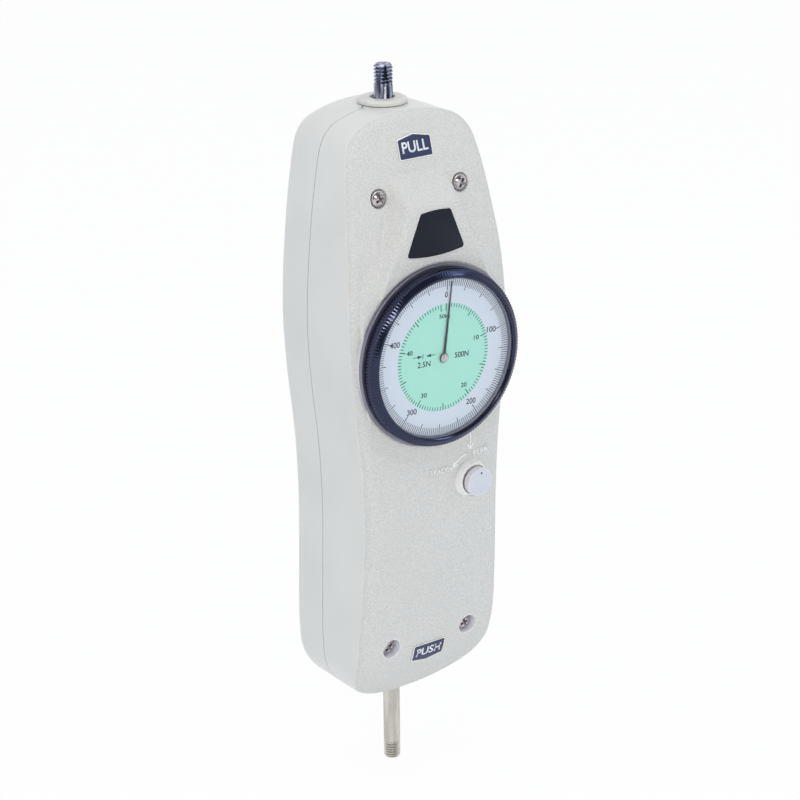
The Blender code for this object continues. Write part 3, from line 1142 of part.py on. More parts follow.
def movement_frame():
    """A folded cage that carries both arbors, on four posts from the chassis."""
    rear, front = MOVEMENT_REAR_DEPTH, MOVEMENT_FRONT_DEPTH
    low, high = MOVEMENT_BOTTOM, MOVEMENT_TOP
    frame = box("movement_frame", (-MOVEMENT_HALF_WIDTH, -front, low),
                (MOVEMENT_HALF_WIDTH, -rear, high), ALUMINIUM_FINISH)
    cut(frame, box("movement_inside",
                   (-MOVEMENT_HALF_WIDTH + MOVEMENT_WALL, -MOVEMENT_INNER_FRONT, low - OVERRUN),
                   (MOVEMENT_HALF_WIDTH + OVERRUN, -MOVEMENT_INNER_REAR, high - MOVEMENT_WALL),
                   ALUMINIUM_FINISH))
    for i, (x, height) in enumerate(post_places()):
        join(frame, cylinder(f"post_{i + 1}", x, height, -CHASSIS_FRONT + GAP,
                             MOVEMENT_REAR_DEPTH + MOVEMENT_WALL / 2, POST_RADIUS,
                             ALUMINIUM_FINISH, SMALL_STEPS))
    for tag, x, height in arbor_places():
        cut(frame, cylinder(f"{tag}_seats", x, height, rear - OVERRUN, front + OVERRUN,
                            BUSH_RADIUS + FINE_GAP, ALUMINIUM_FINISH, SMALL_STEPS))
    cut(frame, cylinder("lever_pin_seats", LEVER_PIVOT_X, LEVER_PIVOT_HEIGHT, rear - OVERRUN,
                        front + OVERRUN, LEVER_PIVOT_RADIUS + FINE_GAP, ALUMINIUM_FINISH,
                        SMALL_STEPS))
    for tag, x, height in arbor_places():
        for side, seat, way in (("rear", MOVEMENT_INNER_REAR, 1),
                                ("front", MOVEMENT_INNER_FRONT, -1)):
            bore = ARBOR_RADIUS + FINE_GAP
            inner = seat + way * (BUSH_FLANGE_THICKNESS + FINE_GAP)
            flange = seat + way * FINE_GAP
            outer = seat - way * MOVEMENT_WALL
            profile = [(bore, inner), (BUSH_FLANGE_RADIUS, inner), (BUSH_FLANGE_RADIUS, flange),
                       (BUSH_RADIUS, flange), (BUSH_RADIUS, outer), (bore, outer)]
            if way < 0:
                profile.reverse()
            facing_front(turned(f"{tag}_bush_{side}", profile, BRASS_FINISH, SMALL_STEPS),
                         x, height)


def arbor_places():
    return (("transfer", -TRANSFER_X, TRANSFER_HEIGHT), ("pointer", 0, DIAL_CENTRE_HEIGHT))


def post_places():
    low, high = MOVEMENT_BOTTOM + POST_INSET, MOVEMENT_TOP - POST_INSET
    return [(-POST_X, low), (POST_X, low), (-POST_X, high), (POST_X, high)]


def peak_lever():
    """The lever that the knob's cam moves and whose nose holds the ratchet wheel."""
    tail_x = KNOB_X - CAM_MEAN_RADIUS - GAP - LEVER_ARM_HALF_WIDTH
    tail_z = KNOB_HEIGHT
    hub = Vector((LEVER_PIVOT_X, LEVER_PIVOT_HEIGHT))
    wheel_middle = Vector((0, DIAL_CENTRE_HEIGHT))
    to_hub = hub - wheel_middle
    nose_way = Vector((to_hub.x, to_hub.y * LEVER_NOSE_RISE_SHARE)).normalized()
    nose_tip = wheel_middle + nose_way * (RATCHET_RADIUS + GAP)
    nose_heel = nose_tip + nose_way * 2 * LEVER_ARM_HALF_WIDTH
    outline = [(tail_x - LEVER_ARM_HALF_WIDTH, tail_z - LEVER_HUB_RADIUS),
               (tail_x + LEVER_ARM_HALF_WIDTH, tail_z - LEVER_HUB_RADIUS),
               (tail_x + LEVER_ARM_HALF_WIDTH, tail_z + LEVER_HUB_RADIUS)]
    for step in range(ARC_STEPS + 1):
        angle = LEVER_HUB_START + LEVER_HUB_SWEEP * step / ARC_STEPS
        outline.append((hub.x + LEVER_HUB_RADIUS * math.cos(angle),
                        hub.y + LEVER_HUB_RADIUS * math.sin(angle)))
    outline += [(nose_heel.x, nose_heel.y), (nose_tip.x, nose_tip.y),
                (hub.x - LEVER_HUB_RADIUS, hub.y + LEVER_HUB_RADIUS / 2),
                (hub.x - LEVER_HUB_RADIUS, hub.y - LEVER_HUB_RADIUS / 2),
                (tail_x - LEVER_ARM_HALF_WIDTH, tail_z + LEVER_HUB_RADIUS)]
    local = [(x - hub.x, z - hub.y) for x, z in outline]
    lever = prism("peak_lever", local, RATCHET_DEPTH, RATCHET_DEPTH + LEVER_THICKNESS,
                  STEEL_FINISH)
    lever.location = (hub.x, 0, hub.y)
    cut(lever, cylinder("lever_bore", hub.x, hub.y, RATCHET_DEPTH - OVERRUN,
                        RATCHET_DEPTH + LEVER_THICKNESS + OVERRUN,
                        LEVER_PIVOT_RADIUS + FINE_GAP, STEEL_FINISH, SMALL_STEPS))
    cylinder("lever_pin", hub.x, hub.y, MOVEMENT_REAR_DEPTH, MOVEMENT_FRONT_DEPTH,
             LEVER_PIVOT_RADIUS, STEEL_FINISH, SMALL_STEPS)


def knob():
    """The cap and its shaft, and the spiral cam that the shaft turns."""
    rim = KNOB_RADIUS - KNOB_WALL
    inner = KNOB_FRONT_DEPTH - KNOB_WALL
    edge = KNOB_EDGE
    facing_front(turned("knob_cap", [
        (0, KNOB_FRONT_DEPTH), (KNOB_RADIUS - edge, KNOB_FRONT_DEPTH),
        (KNOB_RADIUS, KNOB_FRONT_DEPTH - edge), (KNOB_RADIUS, KNOB_REAR_DEPTH),
        (rim, KNOB_REAR_DEPTH), (rim, inner), (0, inner)], KNOB_FINISH), KNOB_X, KNOB_HEIGHT)
    cylinder("knob_shaft", KNOB_X, KNOB_HEIGHT, KNOB_SHAFT_TAIL_DEPTH, inner - FINE_GAP,
             KNOB_SHAFT_RADIUS, STEEL_FINISH, SMALL_STEPS)
    points = []
    steps = 2 * ROUND_STEPS
    for step in range(steps):
        angle = 2 * math.pi * step / steps
        points.append((cam_radius(angle) * math.sin(angle), cam_radius(angle) * math.cos(angle)))
    wheel("knob_cam", points, KNOB_X, KNOB_HEIGHT,
          (RATCHET_DEPTH, RATCHET_DEPTH + CAM_THICKNESS), KNOB_SHAFT_RADIUS + FINE_GAP,
          STEEL_FINISH)


def cam_radius(angle):
    """The cam's radius at an angle that grows clockwise from straight up, seen from the front."""
    contact = 3 * math.pi / 2
    ahead = (angle - contact) % (2 * math.pi)
    if ahead <= 2 * KNOB_SWEEP:
        return CAM_MEAN_RADIUS + CAM_LIFT * ahead / KNOB_SWEEP
    back = (ahead - 2 * KNOB_SWEEP) / (2 * math.pi - 2 * KNOB_SWEEP)
    return CAM_MEAN_RADIUS + 2 * CAM_LIFT * (1 - back)


def dial_parts():
    """The fixed flange and the turning group: bezel, crystal, spacer and dial."""
    front = FLANGE_FRONT_DEPTH
    edge = FLANGE_EDGE
    facing_front(turned("dial_body", [
        (DIAL_BODY_BORE_RADIUS, front + JOURNAL_LENGTH),
        (JOURNAL_RADIUS, front + JOURNAL_LENGTH), (JOURNAL_RADIUS, front),
        (FLANGE_RADIUS - edge, front), (FLANGE_RADIUS, front - edge),
        (FLANGE_RADIUS, FLANGE_REAR_DEPTH + edge), (FLANGE_RADIUS - edge, FLANGE_REAR_DEPTH),
        (DIAL_HOLE_RADIUS - GAP, FLANGE_REAR_DEPTH),
        (DIAL_HOLE_RADIUS - GAP, FLANGE_REAR_DEPTH - SPIGOT_LENGTH),
        (DIAL_BODY_BORE_RADIUS, FLANGE_REAR_DEPTH - SPIGOT_LENGTH)], FLANGE_FINISH, DIAL_STEPS),
        0, DIAL_CENTRE_HEIGHT)
    band = BEZEL_REAR_DEPTH + BEZEL_BAND_LENGTH
    pocket = BEZEL_FRONT_DEPTH - BEZEL_LIP_THICKNESS
    crest_inner = BEZEL_CREST_RADIUS - BEZEL_CREST_WIDTH
    facing_front(turned("bezel_ring", [
        (BEZEL_LIP_RADIUS, pocket + BEZEL_LIP_EDGE),
        (crest_inner, BEZEL_FRONT_DEPTH), (BEZEL_CREST_RADIUS, BEZEL_FRONT_DEPTH),
        (BEZEL_RADIUS - BEZEL_EDGE, band + BEZEL_EDGE), (BEZEL_RADIUS, band),
        (BEZEL_RADIUS, BEZEL_REAR_DEPTH), (BEZEL_POCKET_RADIUS, BEZEL_REAR_DEPTH),
        (BEZEL_POCKET_RADIUS, pocket), (BEZEL_LIP_RADIUS, pocket)], BEZEL_FINISH, DIAL_STEPS),
        0, DIAL_CENTRE_HEIGHT)
    inside = BEZEL_POCKET_RADIUS - FINE_GAP
    cylinder("crystal", 0, DIAL_CENTRE_HEIGHT, CRYSTAL_REAR_DEPTH, CRYSTAL_FRONT_DEPTH,
             inside, GLASS_FINISH, DIAL_STEPS)
    for name, bore, rear, fore, finish in (
            ("dial_spacer", SPACER_BORE_RADIUS, SPACER_REAR_DEPTH, SPACER_FRONT_DEPTH,
             BEZEL_FINISH),
            ("dial_plate", DIAL_BORE_RADIUS, DIAL_REAR_DEPTH, DIAL_FRONT_DEPTH, DIAL_FINISH)):
        profile = [(bore, fore), (inside, fore), (inside, rear), (bore, rear)]
        facing_front(turned(name, profile, finish, DIAL_STEPS), 0, DIAL_CENTRE_HEIGHT)


def pointer():
    """A slim needle with a round hub, and the cap that holds it on its arbor."""
    points = []
    hub_steps = 2 * ARC_STEPS
    gap_angle = math.asin(POINTER_ROOT_HALF_WIDTH / POINTER_HUB_RADIUS)
    for step in range(hub_steps + 1):
        angle = gap_angle + (2 * math.pi - 2 * gap_angle) * step / hub_steps
        points.append((POINTER_HUB_RADIUS * math.sin(angle),
                       POINTER_HUB_RADIUS * math.cos(angle)))
    points += [(-POINTER_TIP_HALF_WIDTH, POINTER_LENGTH - POINTER_TIP_HALF_WIDTH),
               (0, POINTER_LENGTH),
               (POINTER_TIP_HALF_WIDTH, POINTER_LENGTH - POINTER_TIP_HALF_WIDTH)]
    needle = prism("pointer", points, POINTER_REAR_DEPTH, POINTER_FRONT_DEPTH, POINTER_FINISH)
    needle.location = (0, 0, DIAL_CENTRE_HEIGHT)
    needle.rotation_euler = (0, POINTER_ANGLE, 0)
    cut(needle, cylinder("pointer_bore", 0, DIAL_CENTRE_HEIGHT, POINTER_REAR_DEPTH - OVERRUN,
                         POINTER_FRONT_DEPTH + OVERRUN, ARBOR_RADIUS + FINE_GAP,
                         POINTER_FINISH, SMALL_STEPS))
    rear = POINTER_CAP_REAR_DEPTH
    front = rear + POINTER_CAP_HEIGHT
    facing_front(turned("pointer_cap", [
        (0, front), (POINTER_CAP_RADIUS - POINTER_CAP_HEIGHT, front),
        (POINTER_CAP_RADIUS, rear + POINTER_CAP_HEIGHT / 2), (POINTER_CAP_RADIUS, rear),
        (0, rear)], CHROME_FINISH, SMALL_STEPS), 0, DIAL_CENTRE_HEIGHT)


def face_plate(name, bottom, pointed_up, finish):
    """A thin plate that lies on the curved face, with one pointed end."""
    rows = []
    for row in range(PLATE_ROWS):
        share = row / (PLATE_ROWS - 1)
        taper = PLATE_TAPER * (share if pointed_up else 1 - share)
        rows.append((bottom + PLATE_LENGTH * share, PLATE_HALF_WIDTH - taper))
    if pointed_up:
        rows.append((bottom + PLATE_LENGTH + PLATE_POINT, PLATE_TAPER))
    else:
        rows.insert(0, (bottom - PLATE_POINT, PLATE_TAPER))
    bm = bmesh.new()
    layers = []
    for lift in (FINE_GAP, FINE_GAP + PLATE_THICKNESS):
        left = [bm.verts.new((-w, -face_depth(z) - lift, z)) for z, w in rows]
        right = [bm.verts.new((w, -face_depth(z) - lift, z)) for z, w in rows]
        layers.append((left, right))
    (rear_left, rear_right), (front_left, front_right) = layers
    strips = ((rear_left, rear_right), (rear_right, front_right), (front_right, front_left),
              (front_left, rear_left))
    for first, second in strips:
        for i in range(len(rows) - 1):
            bm.faces.new((first[i], first[i + 1], second[i + 1], second[i]))
    for end in (0, -1):
        bm.faces.new((rear_left[end], rear_right[end], front_right[end], front_left[end]))
    return finish_mesh(name, bm, finish)


def plates():
    rear = NOSE_DEPTH - BADGE_POCKET_DEPTH + FINE_GAP
    prism("badge", badge_outline(0), rear, rear + BADGE_THICKNESS, BADGE_FINISH)
    face_plate("pull_plate", PULL_PLATE_HEIGHT, True, PLATE_FINISH)
    face_plate("push_plate", PUSH_PLATE_HEIGHT, False, PLATE_FINISH)


for old in list(bpy.data.objects):
    bpy.data.objects.remove(old, do_unlink=True)
PARTS = new_collection("dial_force_gauge")
CUTTERS = new_collection("cutters")

CASE_FINISH = material("case_plastic", (0.72, 0.73, 0.71), 0.45)
BUSH_FINISH = material("guide_plastic", (0.70, 0.70, 0.67), 0.4)
KNOB_FINISH = material("knob_plastic", (0.66, 0.69, 0.75), 0.3)
BEZEL_FINISH = material("black_anodised", (0.02, 0.02, 0.028), 0.25, 0.8)
FLANGE_FINISH = material("grey_anodised", (0.16, 0.16, 0.19), 0.3, 0.8)
DIAL_FINISH = material("dial_white", (0.66, 0.73, 0.82), 0.5)
GLASS_FINISH = material("crystal_clear", (0.95, 0.97, 1.0), 0.02, 0.0, 0.2)
POINTER_FINISH = material("pointer_black", (0.02, 0.02, 0.03), 0.4)
BADGE_FINISH = material("badge_navy", (0.012, 0.018, 0.04), 0.3)
PLATE_FINISH = material("plate_slate", (0.05, 0.065, 0.16), 0.4)
CHROME_FINISH = material("chrome", (0.72, 0.72, 0.74), 0.12, 1.0)
ROD_FINISH = material("satin_steel", (0.52, 0.51, 0.48), 0.35, 1.0)
STEEL_FINISH = material("plated_steel", (0.50, 0.50, 0.52), 0.35, 1.0)
SPRING_FINISH = material("spring_steel", (0.30, 0.30, 0.32), 0.3, 1.0)
SCREW_FINISH = material("screw_steel", (0.45, 0.43, 0.43), 0.25, 1.0)
ALUMINIUM_FINISH = material("aluminium", (0.60, 0.61, 0.63), 0.4, 1.0)
BRASS_FINISH = material("brass", (0.62, 0.45, 0.18), 0.3, 1.0)

front_case()
rear_case()
bushes()
case_screws()
chassis()
mount_inserts()
shaft()
rack()
springs()
gear_train()
ratchet_and_hairspring()
movement_frame()
peak_lever()
knob()
dial_parts()
pointer()
plates()
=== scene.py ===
"""A dial force gauge as it looks in the studio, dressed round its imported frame."""
import math

import bmesh
import bpy
import numpy as np
from mathutils import Matrix, Vector


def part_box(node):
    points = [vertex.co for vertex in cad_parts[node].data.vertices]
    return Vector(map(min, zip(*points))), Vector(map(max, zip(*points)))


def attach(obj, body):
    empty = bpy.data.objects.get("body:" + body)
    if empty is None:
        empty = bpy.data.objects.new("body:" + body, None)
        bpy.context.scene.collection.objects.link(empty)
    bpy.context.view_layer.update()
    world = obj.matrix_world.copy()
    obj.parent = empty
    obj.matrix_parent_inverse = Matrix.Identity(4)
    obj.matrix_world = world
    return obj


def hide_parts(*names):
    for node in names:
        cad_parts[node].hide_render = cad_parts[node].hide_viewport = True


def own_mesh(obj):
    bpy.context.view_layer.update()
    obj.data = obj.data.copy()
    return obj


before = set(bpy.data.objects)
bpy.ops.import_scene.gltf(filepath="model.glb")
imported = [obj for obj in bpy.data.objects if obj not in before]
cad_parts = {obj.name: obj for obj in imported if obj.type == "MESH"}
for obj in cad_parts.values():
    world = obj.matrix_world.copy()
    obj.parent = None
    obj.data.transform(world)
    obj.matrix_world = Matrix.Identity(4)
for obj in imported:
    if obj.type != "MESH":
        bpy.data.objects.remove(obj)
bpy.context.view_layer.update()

MM = 0.001

# Places read from the frame; a depth is how far a face stands out before the shaft's axis
CASE_LOW, CASE_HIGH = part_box("rear_case")
DIAL_LOW, DIAL_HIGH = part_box("dial_body")
BEZEL_LOW, BEZEL_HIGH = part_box("bezel_ring")
PLATE_LOW, PLATE_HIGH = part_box("dial_plate")
GLASS_LOW, GLASS_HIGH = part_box("crystal")
KNOB_LOW, KNOB_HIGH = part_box("knob_cap")
BADGE_LOW, BADGE_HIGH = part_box("badge")
TOP_BUSH_LOW, TOP_BUSH_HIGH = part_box("top_bushing")
BOTTOM_BUSH_LOW, BOTTOM_BUSH_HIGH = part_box("bottom_bushing")
PUSH_LOW, PUSH_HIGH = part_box("push_rod")
PULL_LOW, PULL_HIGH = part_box("pull_shaft")

DIAL_HEIGHT = (DIAL_LOW.z + DIAL_HIGH.z) / 2
FLANGE_RADIUS = (DIAL_HIGH.x - DIAL_LOW.x) / 2
BEZEL_RADIUS = (BEZEL_HIGH.x - BEZEL_LOW.x) / 2
CASE_HALF_WIDTH = CASE_HIGH.x
CASE_BOTTOM = CASE_LOW.z
BACK_DEPTH = CASE_HIGH.y
KNOB_X = (KNOB_LOW.x + KNOB_HIGH.x) / 2
KNOB_HEIGHT = (KNOB_LOW.z + KNOB_HIGH.z) / 2
KNOB_RADIUS = (KNOB_HIGH.x - KNOB_LOW.x) / 2

# Case form, as in the CAD: heights run up from the push end's face
CASE_HEIGHT = 215.6 * MM
CASE_TOP = CASE_BOTTOM + CASE_HEIGHT
CASE_WALL = 2.5 * MM
SEAM_GAP = 0.30 * MM
FACE_DEPTH = 27.4 * MM
FACE_EDGE_RADIUS_TOP = 2.4 * MM
FACE_EDGE_RADIUS_BOTTOM = 4.2 * MM
BACK_EDGE_RADIUS = 6.5 * MM
INNER_EDGE_RADIUS = 1.2 * MM
CHIN_ARC_RADIUS = 33.3 * MM
CHIN_ARC_HALF_WIDTH = 20.0 * MM
CROWN_ARC_RADIUS = 53.7 * MM
CROWN_ARC_HALF_WIDTH = 18.5 * MM
SIDE_SHARES = (
    (0.108, 0.892), (0.154, 0.900), (0.238, 0.885), (0.354, 0.866), (0.447, 0.884),
    (0.493, 0.910), (0.563, 0.960), (0.609, 0.984), (0.665, 1.000), (0.720, 0.990),
    (0.771, 0.966), (0.850, 0.910), (0.910, 0.850), (0.937, 0.815),
)
FACE_SHARES = (
    (0.000, 0.175), (0.004, 0.205), (0.020, 0.350), (0.052, 0.573), (0.080, 0.718),
    (0.108, 0.822), (0.154, 0.900), (0.238, 0.958), (0.354, 0.998), (0.493, 1.000),
    (0.665, 0.972), (0.771, 0.903), (0.850, 0.784), (0.910, 0.682), (0.948, 0.600),
    (0.976, 0.530), (1.000, 0.485),
)

# Fine rows run over the nose, the dial seat and the knob; the rest of the case is coarser
FINE_LOW = 112.0 * MM
FINE_HIGH = 228.0 * MM
FINE_STEP = 0.32 * MM
COARSE_STEP = 0.8 * MM
ARC_POINTS = 28
EDGE_STEPS = 12
FACE_COLUMNS = 200
SMOOTH_ANGLE = math.radians(32)

# Nose, seat, knob boss and the holes in the shells
NOSE_DEPTH = 28.6 * MM
NOSE_TOP = 216.2 * MM
NOSE_TOP_HALF_WIDTH = 9.6 * MM
NOSE_FOOT = 184.0 * MM
NOSE_FOOT_HALF_WIDTH = 23.6 * MM
NOSE_SIDE_SLOPE = 0.49
NOSE_RAMP_SLOPE = 0.86
NOSE_CLEARANCE = 0.5 * MM
NOSE_EDGE_SOFTNESS = 0.9 * MM
NOSE_CORNER_SOFTNESS = 3.5 * MM
NOSE_FOOT_SOFTNESS = 0.7 * MM
SEAT_DEPTH = 28.2 * MM
SEAT_RADIUS = 30.9 * MM
SEAT_SLOPE = 0.2
SEAT_CURVE = 0.035 / MM
SEAT_SOFTNESS = 1.6 * MM
FLANGE_FRONT = 30.2 * MM
FLANGE_REAR = 28.55 * MM
DIAL_HOLE_RADIUS = 22.3 * MM
BOSS_DEPTH = 30.2 * MM
BOSS_RADIUS = 5.75 * MM
BOSS_FLARE = 0.6 * MM
BOSS_EDGE = 0.2 * MM
BOSS_SHIFT = 0.25 * MM
BOSS_FOOT_RADIUS = 0.35 * MM
KNOB_FLOOR_DEPTH = 28.4 * MM
KNOB_SHAFT_RADIUS = 1.5 * MM
GAP = 0.30 * MM
FINE_GAP = 0.15 * MM
COUNTERBORE_RADII = (3.2 * MM, 3.2 * MM, 3.5 * MM, 3.5 * MM)
COUNTERBORE_LIP = 0.35 * MM
SCREW_LIFTS = (0.6 * MM, 0.6 * MM, 2.2 * MM, 2.2 * MM)
SCREW_TURNS = (0.45, 1.1, 0.7, 0.3)
SCREW_HEAD_RADIUS = 2.95 * MM
SCREW_HEAD_HEIGHT = 2.0 * MM
SCREW_SHANK_RADIUS = 1.6 * MM
SCREW_TIP_DEPTH = 10.5 * MM
SCREW_BOSS_RADIUS = 4.5 * MM
SCREW_BOSS_COVER = 1.2 * MM
SCREW_PLACES = ((-16.6 * MM, 218.5 * MM), (16.6 * MM, 218.5 * MM),
                (-16.5 * MM, 57.5 * MM), (16.5 * MM, 57.5 * MM))
INSERT_BOSS_WALL = 1.5 * MM
INSERT_BOSS_LENGTH = 8.6 * MM
INSERT_HOLE_LENGTH = 7.1 * MM
INSERT_BORE = 2.1 * MM
INSERT_THREAD_TURNS = 8
PAD_RADIUS = 8.35 * MM
PAD_RISE = 0.05 * MM
GUIDE_DROP = 0.2 * MM
GUIDE_BACK = 0.7 * MM
GUIDE_MOUTH = 4.2 * MM
GUIDE_FLANGE_HEIGHT = 1.7 * MM
BUSH_SLEEVE_RADIUS = 6.0 * MM
OVERRUN = 4.0 * MM

# Shafts and springs; a thread is (its radius, depth and pitch)
SHAFT_RADIUS = 3.35 * MM
PULL_THREAD_LENGTH = 7.2 * MM
PULL_THREAD = (3.15 * MM, 0.8 * MM, 1.2 * MM)
PUSH_THREAD_LENGTH = 6.9 * MM
PUSH_THREAD = (3.0 * MM, 0.55 * MM, 1.0 * MM)
ROD_CHAMFER = 0.75 * MM

# Badge and plates
BADGE_TOP_HALF_WIDTH = 6.0 * MM
BADGE_BOTTOM_HALF_WIDTH = 11.8 * MM
BADGE_CORNER_RADIUS = 1.2 * MM
BADGE_BOTTOM = 199.2 * MM
BADGE_TOP_BULGE = 0.35 * MM
BADGE_BOTTOM_BULGE = 0.85 * MM
BADGE_POCKET_DEPTH = 0.4 * MM
BADGE_BORDER = 0.28 * MM
PLATE_LENGTH = 6.1 * MM
PLATE_POINT = 1.25 * MM
PLATE_HALF_WIDTH = 6.45 * MM
PLATE_CORNER_RADIUS = 0.5 * MM
PLATE_BORDER = 0.3 * MM

# Dial pieces and print: forces in newtons, masses in kilograms
BEZEL_TEETH = 170
BEZEL_TOOTH_DEPTH = 0.3 * MM
BEZEL_WALL = 1.9 * MM
FULL_SCALE = 500.0
STANDARD_GRAVITY = 9.80665
DIAL_TURN = math.radians(4.2)
POINTER_ANGLE = math.radians(7.6)
POINTER_LENGTH = 26.3 * MM
HUB_RADIUS = 1.7 * MM
HUB_BORE = 0.95 * MM
CAP_RADIUS = 1.55 * MM
DIAL_BORE = 1.1 * MM
FLANGE_BORE = 19.5 * MM
SPACER_BORE = 27.25 * MM
GREEN_RADIUS = 18.76 * MM
SCALE_RADIUS = 27.6 * MM
INK_THICKNESS = 0.015 * MM
INK_WEIGHT = 0.035 * MM
FONT_CAP_SHARE = 0.73

# Knob and the marks round it
KNOB_DOT_X = 0.35 * MM
KNOB_DOT_RISE = 3.35 * MM
KNOB_DOT_RADIUS = 0.38 * MM
KNOB_RIBS = 40
KNOB_RIB_DEPTH = 0.26 * MM
MARK_WIDTH = 0.38 * MM
MARK_RISE = 0.3 * MM
MARK_ARC = 9.3 * MM
WORD_WEIGHT = 0.04 * MM

# Colours as they read in daylight, in 0 to 255; the knob side, boss, counterbore and raised word
# colours are painted light
CASE_COLOUR = (223, 223, 220)
BUSH_COLOUR = (220, 219, 213)
KNOB_COLOUR = (214, 219, 228)
KNOB_SIDE_PAINTED_LIGHT_COLOUR = (238, 233, 240)
BADGE_COLOUR = (20, 27, 42)
BORDER_AND_PAINTED_BOSS_LIGHT_COLOUR = (248, 247, 242)
BORE_PAINTED_LIGHT_COLOUR = (244, 243, 250)
WORD_PAINTED_HIGHLIGHT_COLOUR = (249, 249, 247)
PLATE_COLOUR = (56, 64, 98)
LETTER_COLOUR = (236, 238, 242)
DIAL_COLOUR = (215, 224, 237)
GREEN_COLOUR = (171, 233, 217)
INK_COLOUR = (30, 38, 60)
POINTER_COLOUR = (34, 42, 62)

# Camera, from the photograph: where it stands, how it is turned and its lens
CAMERA_PLACE = Vector((-457.25, -644.23, 436.94)) * MM
CAMERA_YAW = math.radians(35.68)
CAMERA_PITCH = math.radians(20.67)
CAMERA_ROLL = math.radians(-0.66)
CAMERA_LENS = 109.7
CAMERA_SENSOR = 36.0


def paint(colour):
    """An sRGB colour in 0 to 255 as the linear colour that shaders use."""
    shares = [channel / 255 for channel in colour]
    return (*(c / 12.92 if c <= 0.04045 else ((c + 0.055) / 1.055) ** 2.4 for c in shares), 1)


def shade(colour, amount):
    """A colour made lighter or darker by a share."""
    return tuple(min(255, channel * (1 + amount)) for channel in colour)


class Nodes:
    """Short ways to add nodes to a tree."""

    def __init__(self, tree):
        self.tree = tree

    def link(self, start, end):
        """Links an output to an input."""
        self.tree.links.new(start, end)

    def node(self, kind, feeds, **settings):
        """Adds a node, its inputs fed by outputs or plain values; returns its outputs."""
        made = self.tree.nodes.new("ShaderNode" + kind)
        for key, value in settings.items():
            setattr(made, key, value)
        for key, value in feeds.items():
            if isinstance(value, bpy.types.NodeSocket):
                self.link(value, made.inputs[key])
            else:
                made.inputs[key].default_value = value
        return made.outputs

    def math(self, operation, first, second=0.0):
        """The output of a math node over outputs or numbers."""
        return self.node("Math", {0: first, 1: second}, operation=operation)[0]

    def ramp(self, value, low, high, start=0.0, end=1.0):
        """Maps an output smoothly from low..high to start..end."""
        return self.node("MapRange", {"Value": value, "From Min": low, "From Max": high,
                                      "To Min": start, "To Max": end},
                         interpolation_type="SMOOTHSTEP")["Result"]

    def axes(self, vector):
        """The three axes of a vector output, by name."""
        return self.node("SeparateXYZ", {0: vector})

    def blend(self, share, first, second):
        """Goes from the first to the second shader."""
        return self.node("MixShader", {0: share, 1: first, 2: second})[0]


class Finish(Nodes):
    """A node material round one Principled shader."""

    def __init__(self, name, colour, roughness, metallic=0.0):
        self.material = bpy.data.materials.new(name)
        self.material.use_nodes = True
        super().__init__(self.material.node_tree)
        self.shader = self.tree.nodes["Principled BSDF"]
        self.shader.inputs["Base Color"].default_value = paint(colour)
        self.shader.inputs["Roughness"].default_value = roughness
        self.shader.inputs["Metallic"].default_value = metallic
        coordinates = self.node("TexCoord", {})
        self.place, self.turned = coordinates["Object"], coordinates["Normal"]

    def noise(self, size, detail=3.0, stretch=(1, 1, 1)):
        """Noise whose lumps are about a size, in metres."""
        scaled = self.node("Mapping", {"Scale": stretch, "Vector": self.place})[0]
        return self.node("TexNoise", {"Scale": 1 / size, "Detail": detail, "Vector": scaled})["Fac"]

    def cells(self, size, smooth):
        return self.node("TexVoronoi", {"Scale": 1 / size, "Smoothness": smooth,
                                        "Vector": self.place}, feature="SMOOTH_F1")["Distance"]

    def reach(self, x, height):
        """How far a place lies from an axis that runs in depth."""
        axes = self.axes(self.place)
        squares = [self.math("POWER", self.math("SUBTRACT", axes[key], at), 2.0)
                   for key, at in (("X", x), ("Z", height))]
        return self.math("SQRT", self.math("ADD", *squares))

    def bump(self, height, depth):
        """Bumps the surface by a 0 to 1 height whose full range is a depth in metres."""
        normal = self.shader.inputs["Normal"]
        feeds = {"Strength": 1.0, "Distance": depth, "Height": height}
        if normal.is_linked:
            feeds["Normal"] = normal.links[0].from_socket
        self.link(self.node("Bump", feeds)[0], normal)

    def vary_roughness(self, value, low, high):
        """Roughness that follows a noise between two values."""
        self.link(self.ramp(value, 0.3, 0.7, low, high), self.shader.inputs["Roughness"])

    def mix_colour(self, value, first, second):
        """Base colour that goes from the first to the second colour or output."""
        ends = [end if isinstance(end, bpy.types.NodeSocket) else paint(end)
                for end in (first, second)]
        mixed = self.node("Mix", {"Factor": value, 6: ends[0], 7: ends[1]}, data_type="RGBA")[2]
        self.link(mixed, self.shader.inputs["Base Color"])
        return mixed

    def mottle(self, size, colour, darker, lighter):
        """Clouds of a size over a colour, darker and lighter by shares."""
        return self.mix_colour(self.ramp(self.noise(size), 0.3, 0.7), shade(colour, -darker),
                               shade(colour, lighter))

    def surface(self, shader):
        """Makes a shader the one that is shown."""
        self.link(shader, self.tree.nodes["Material Output"].inputs["Surface"])


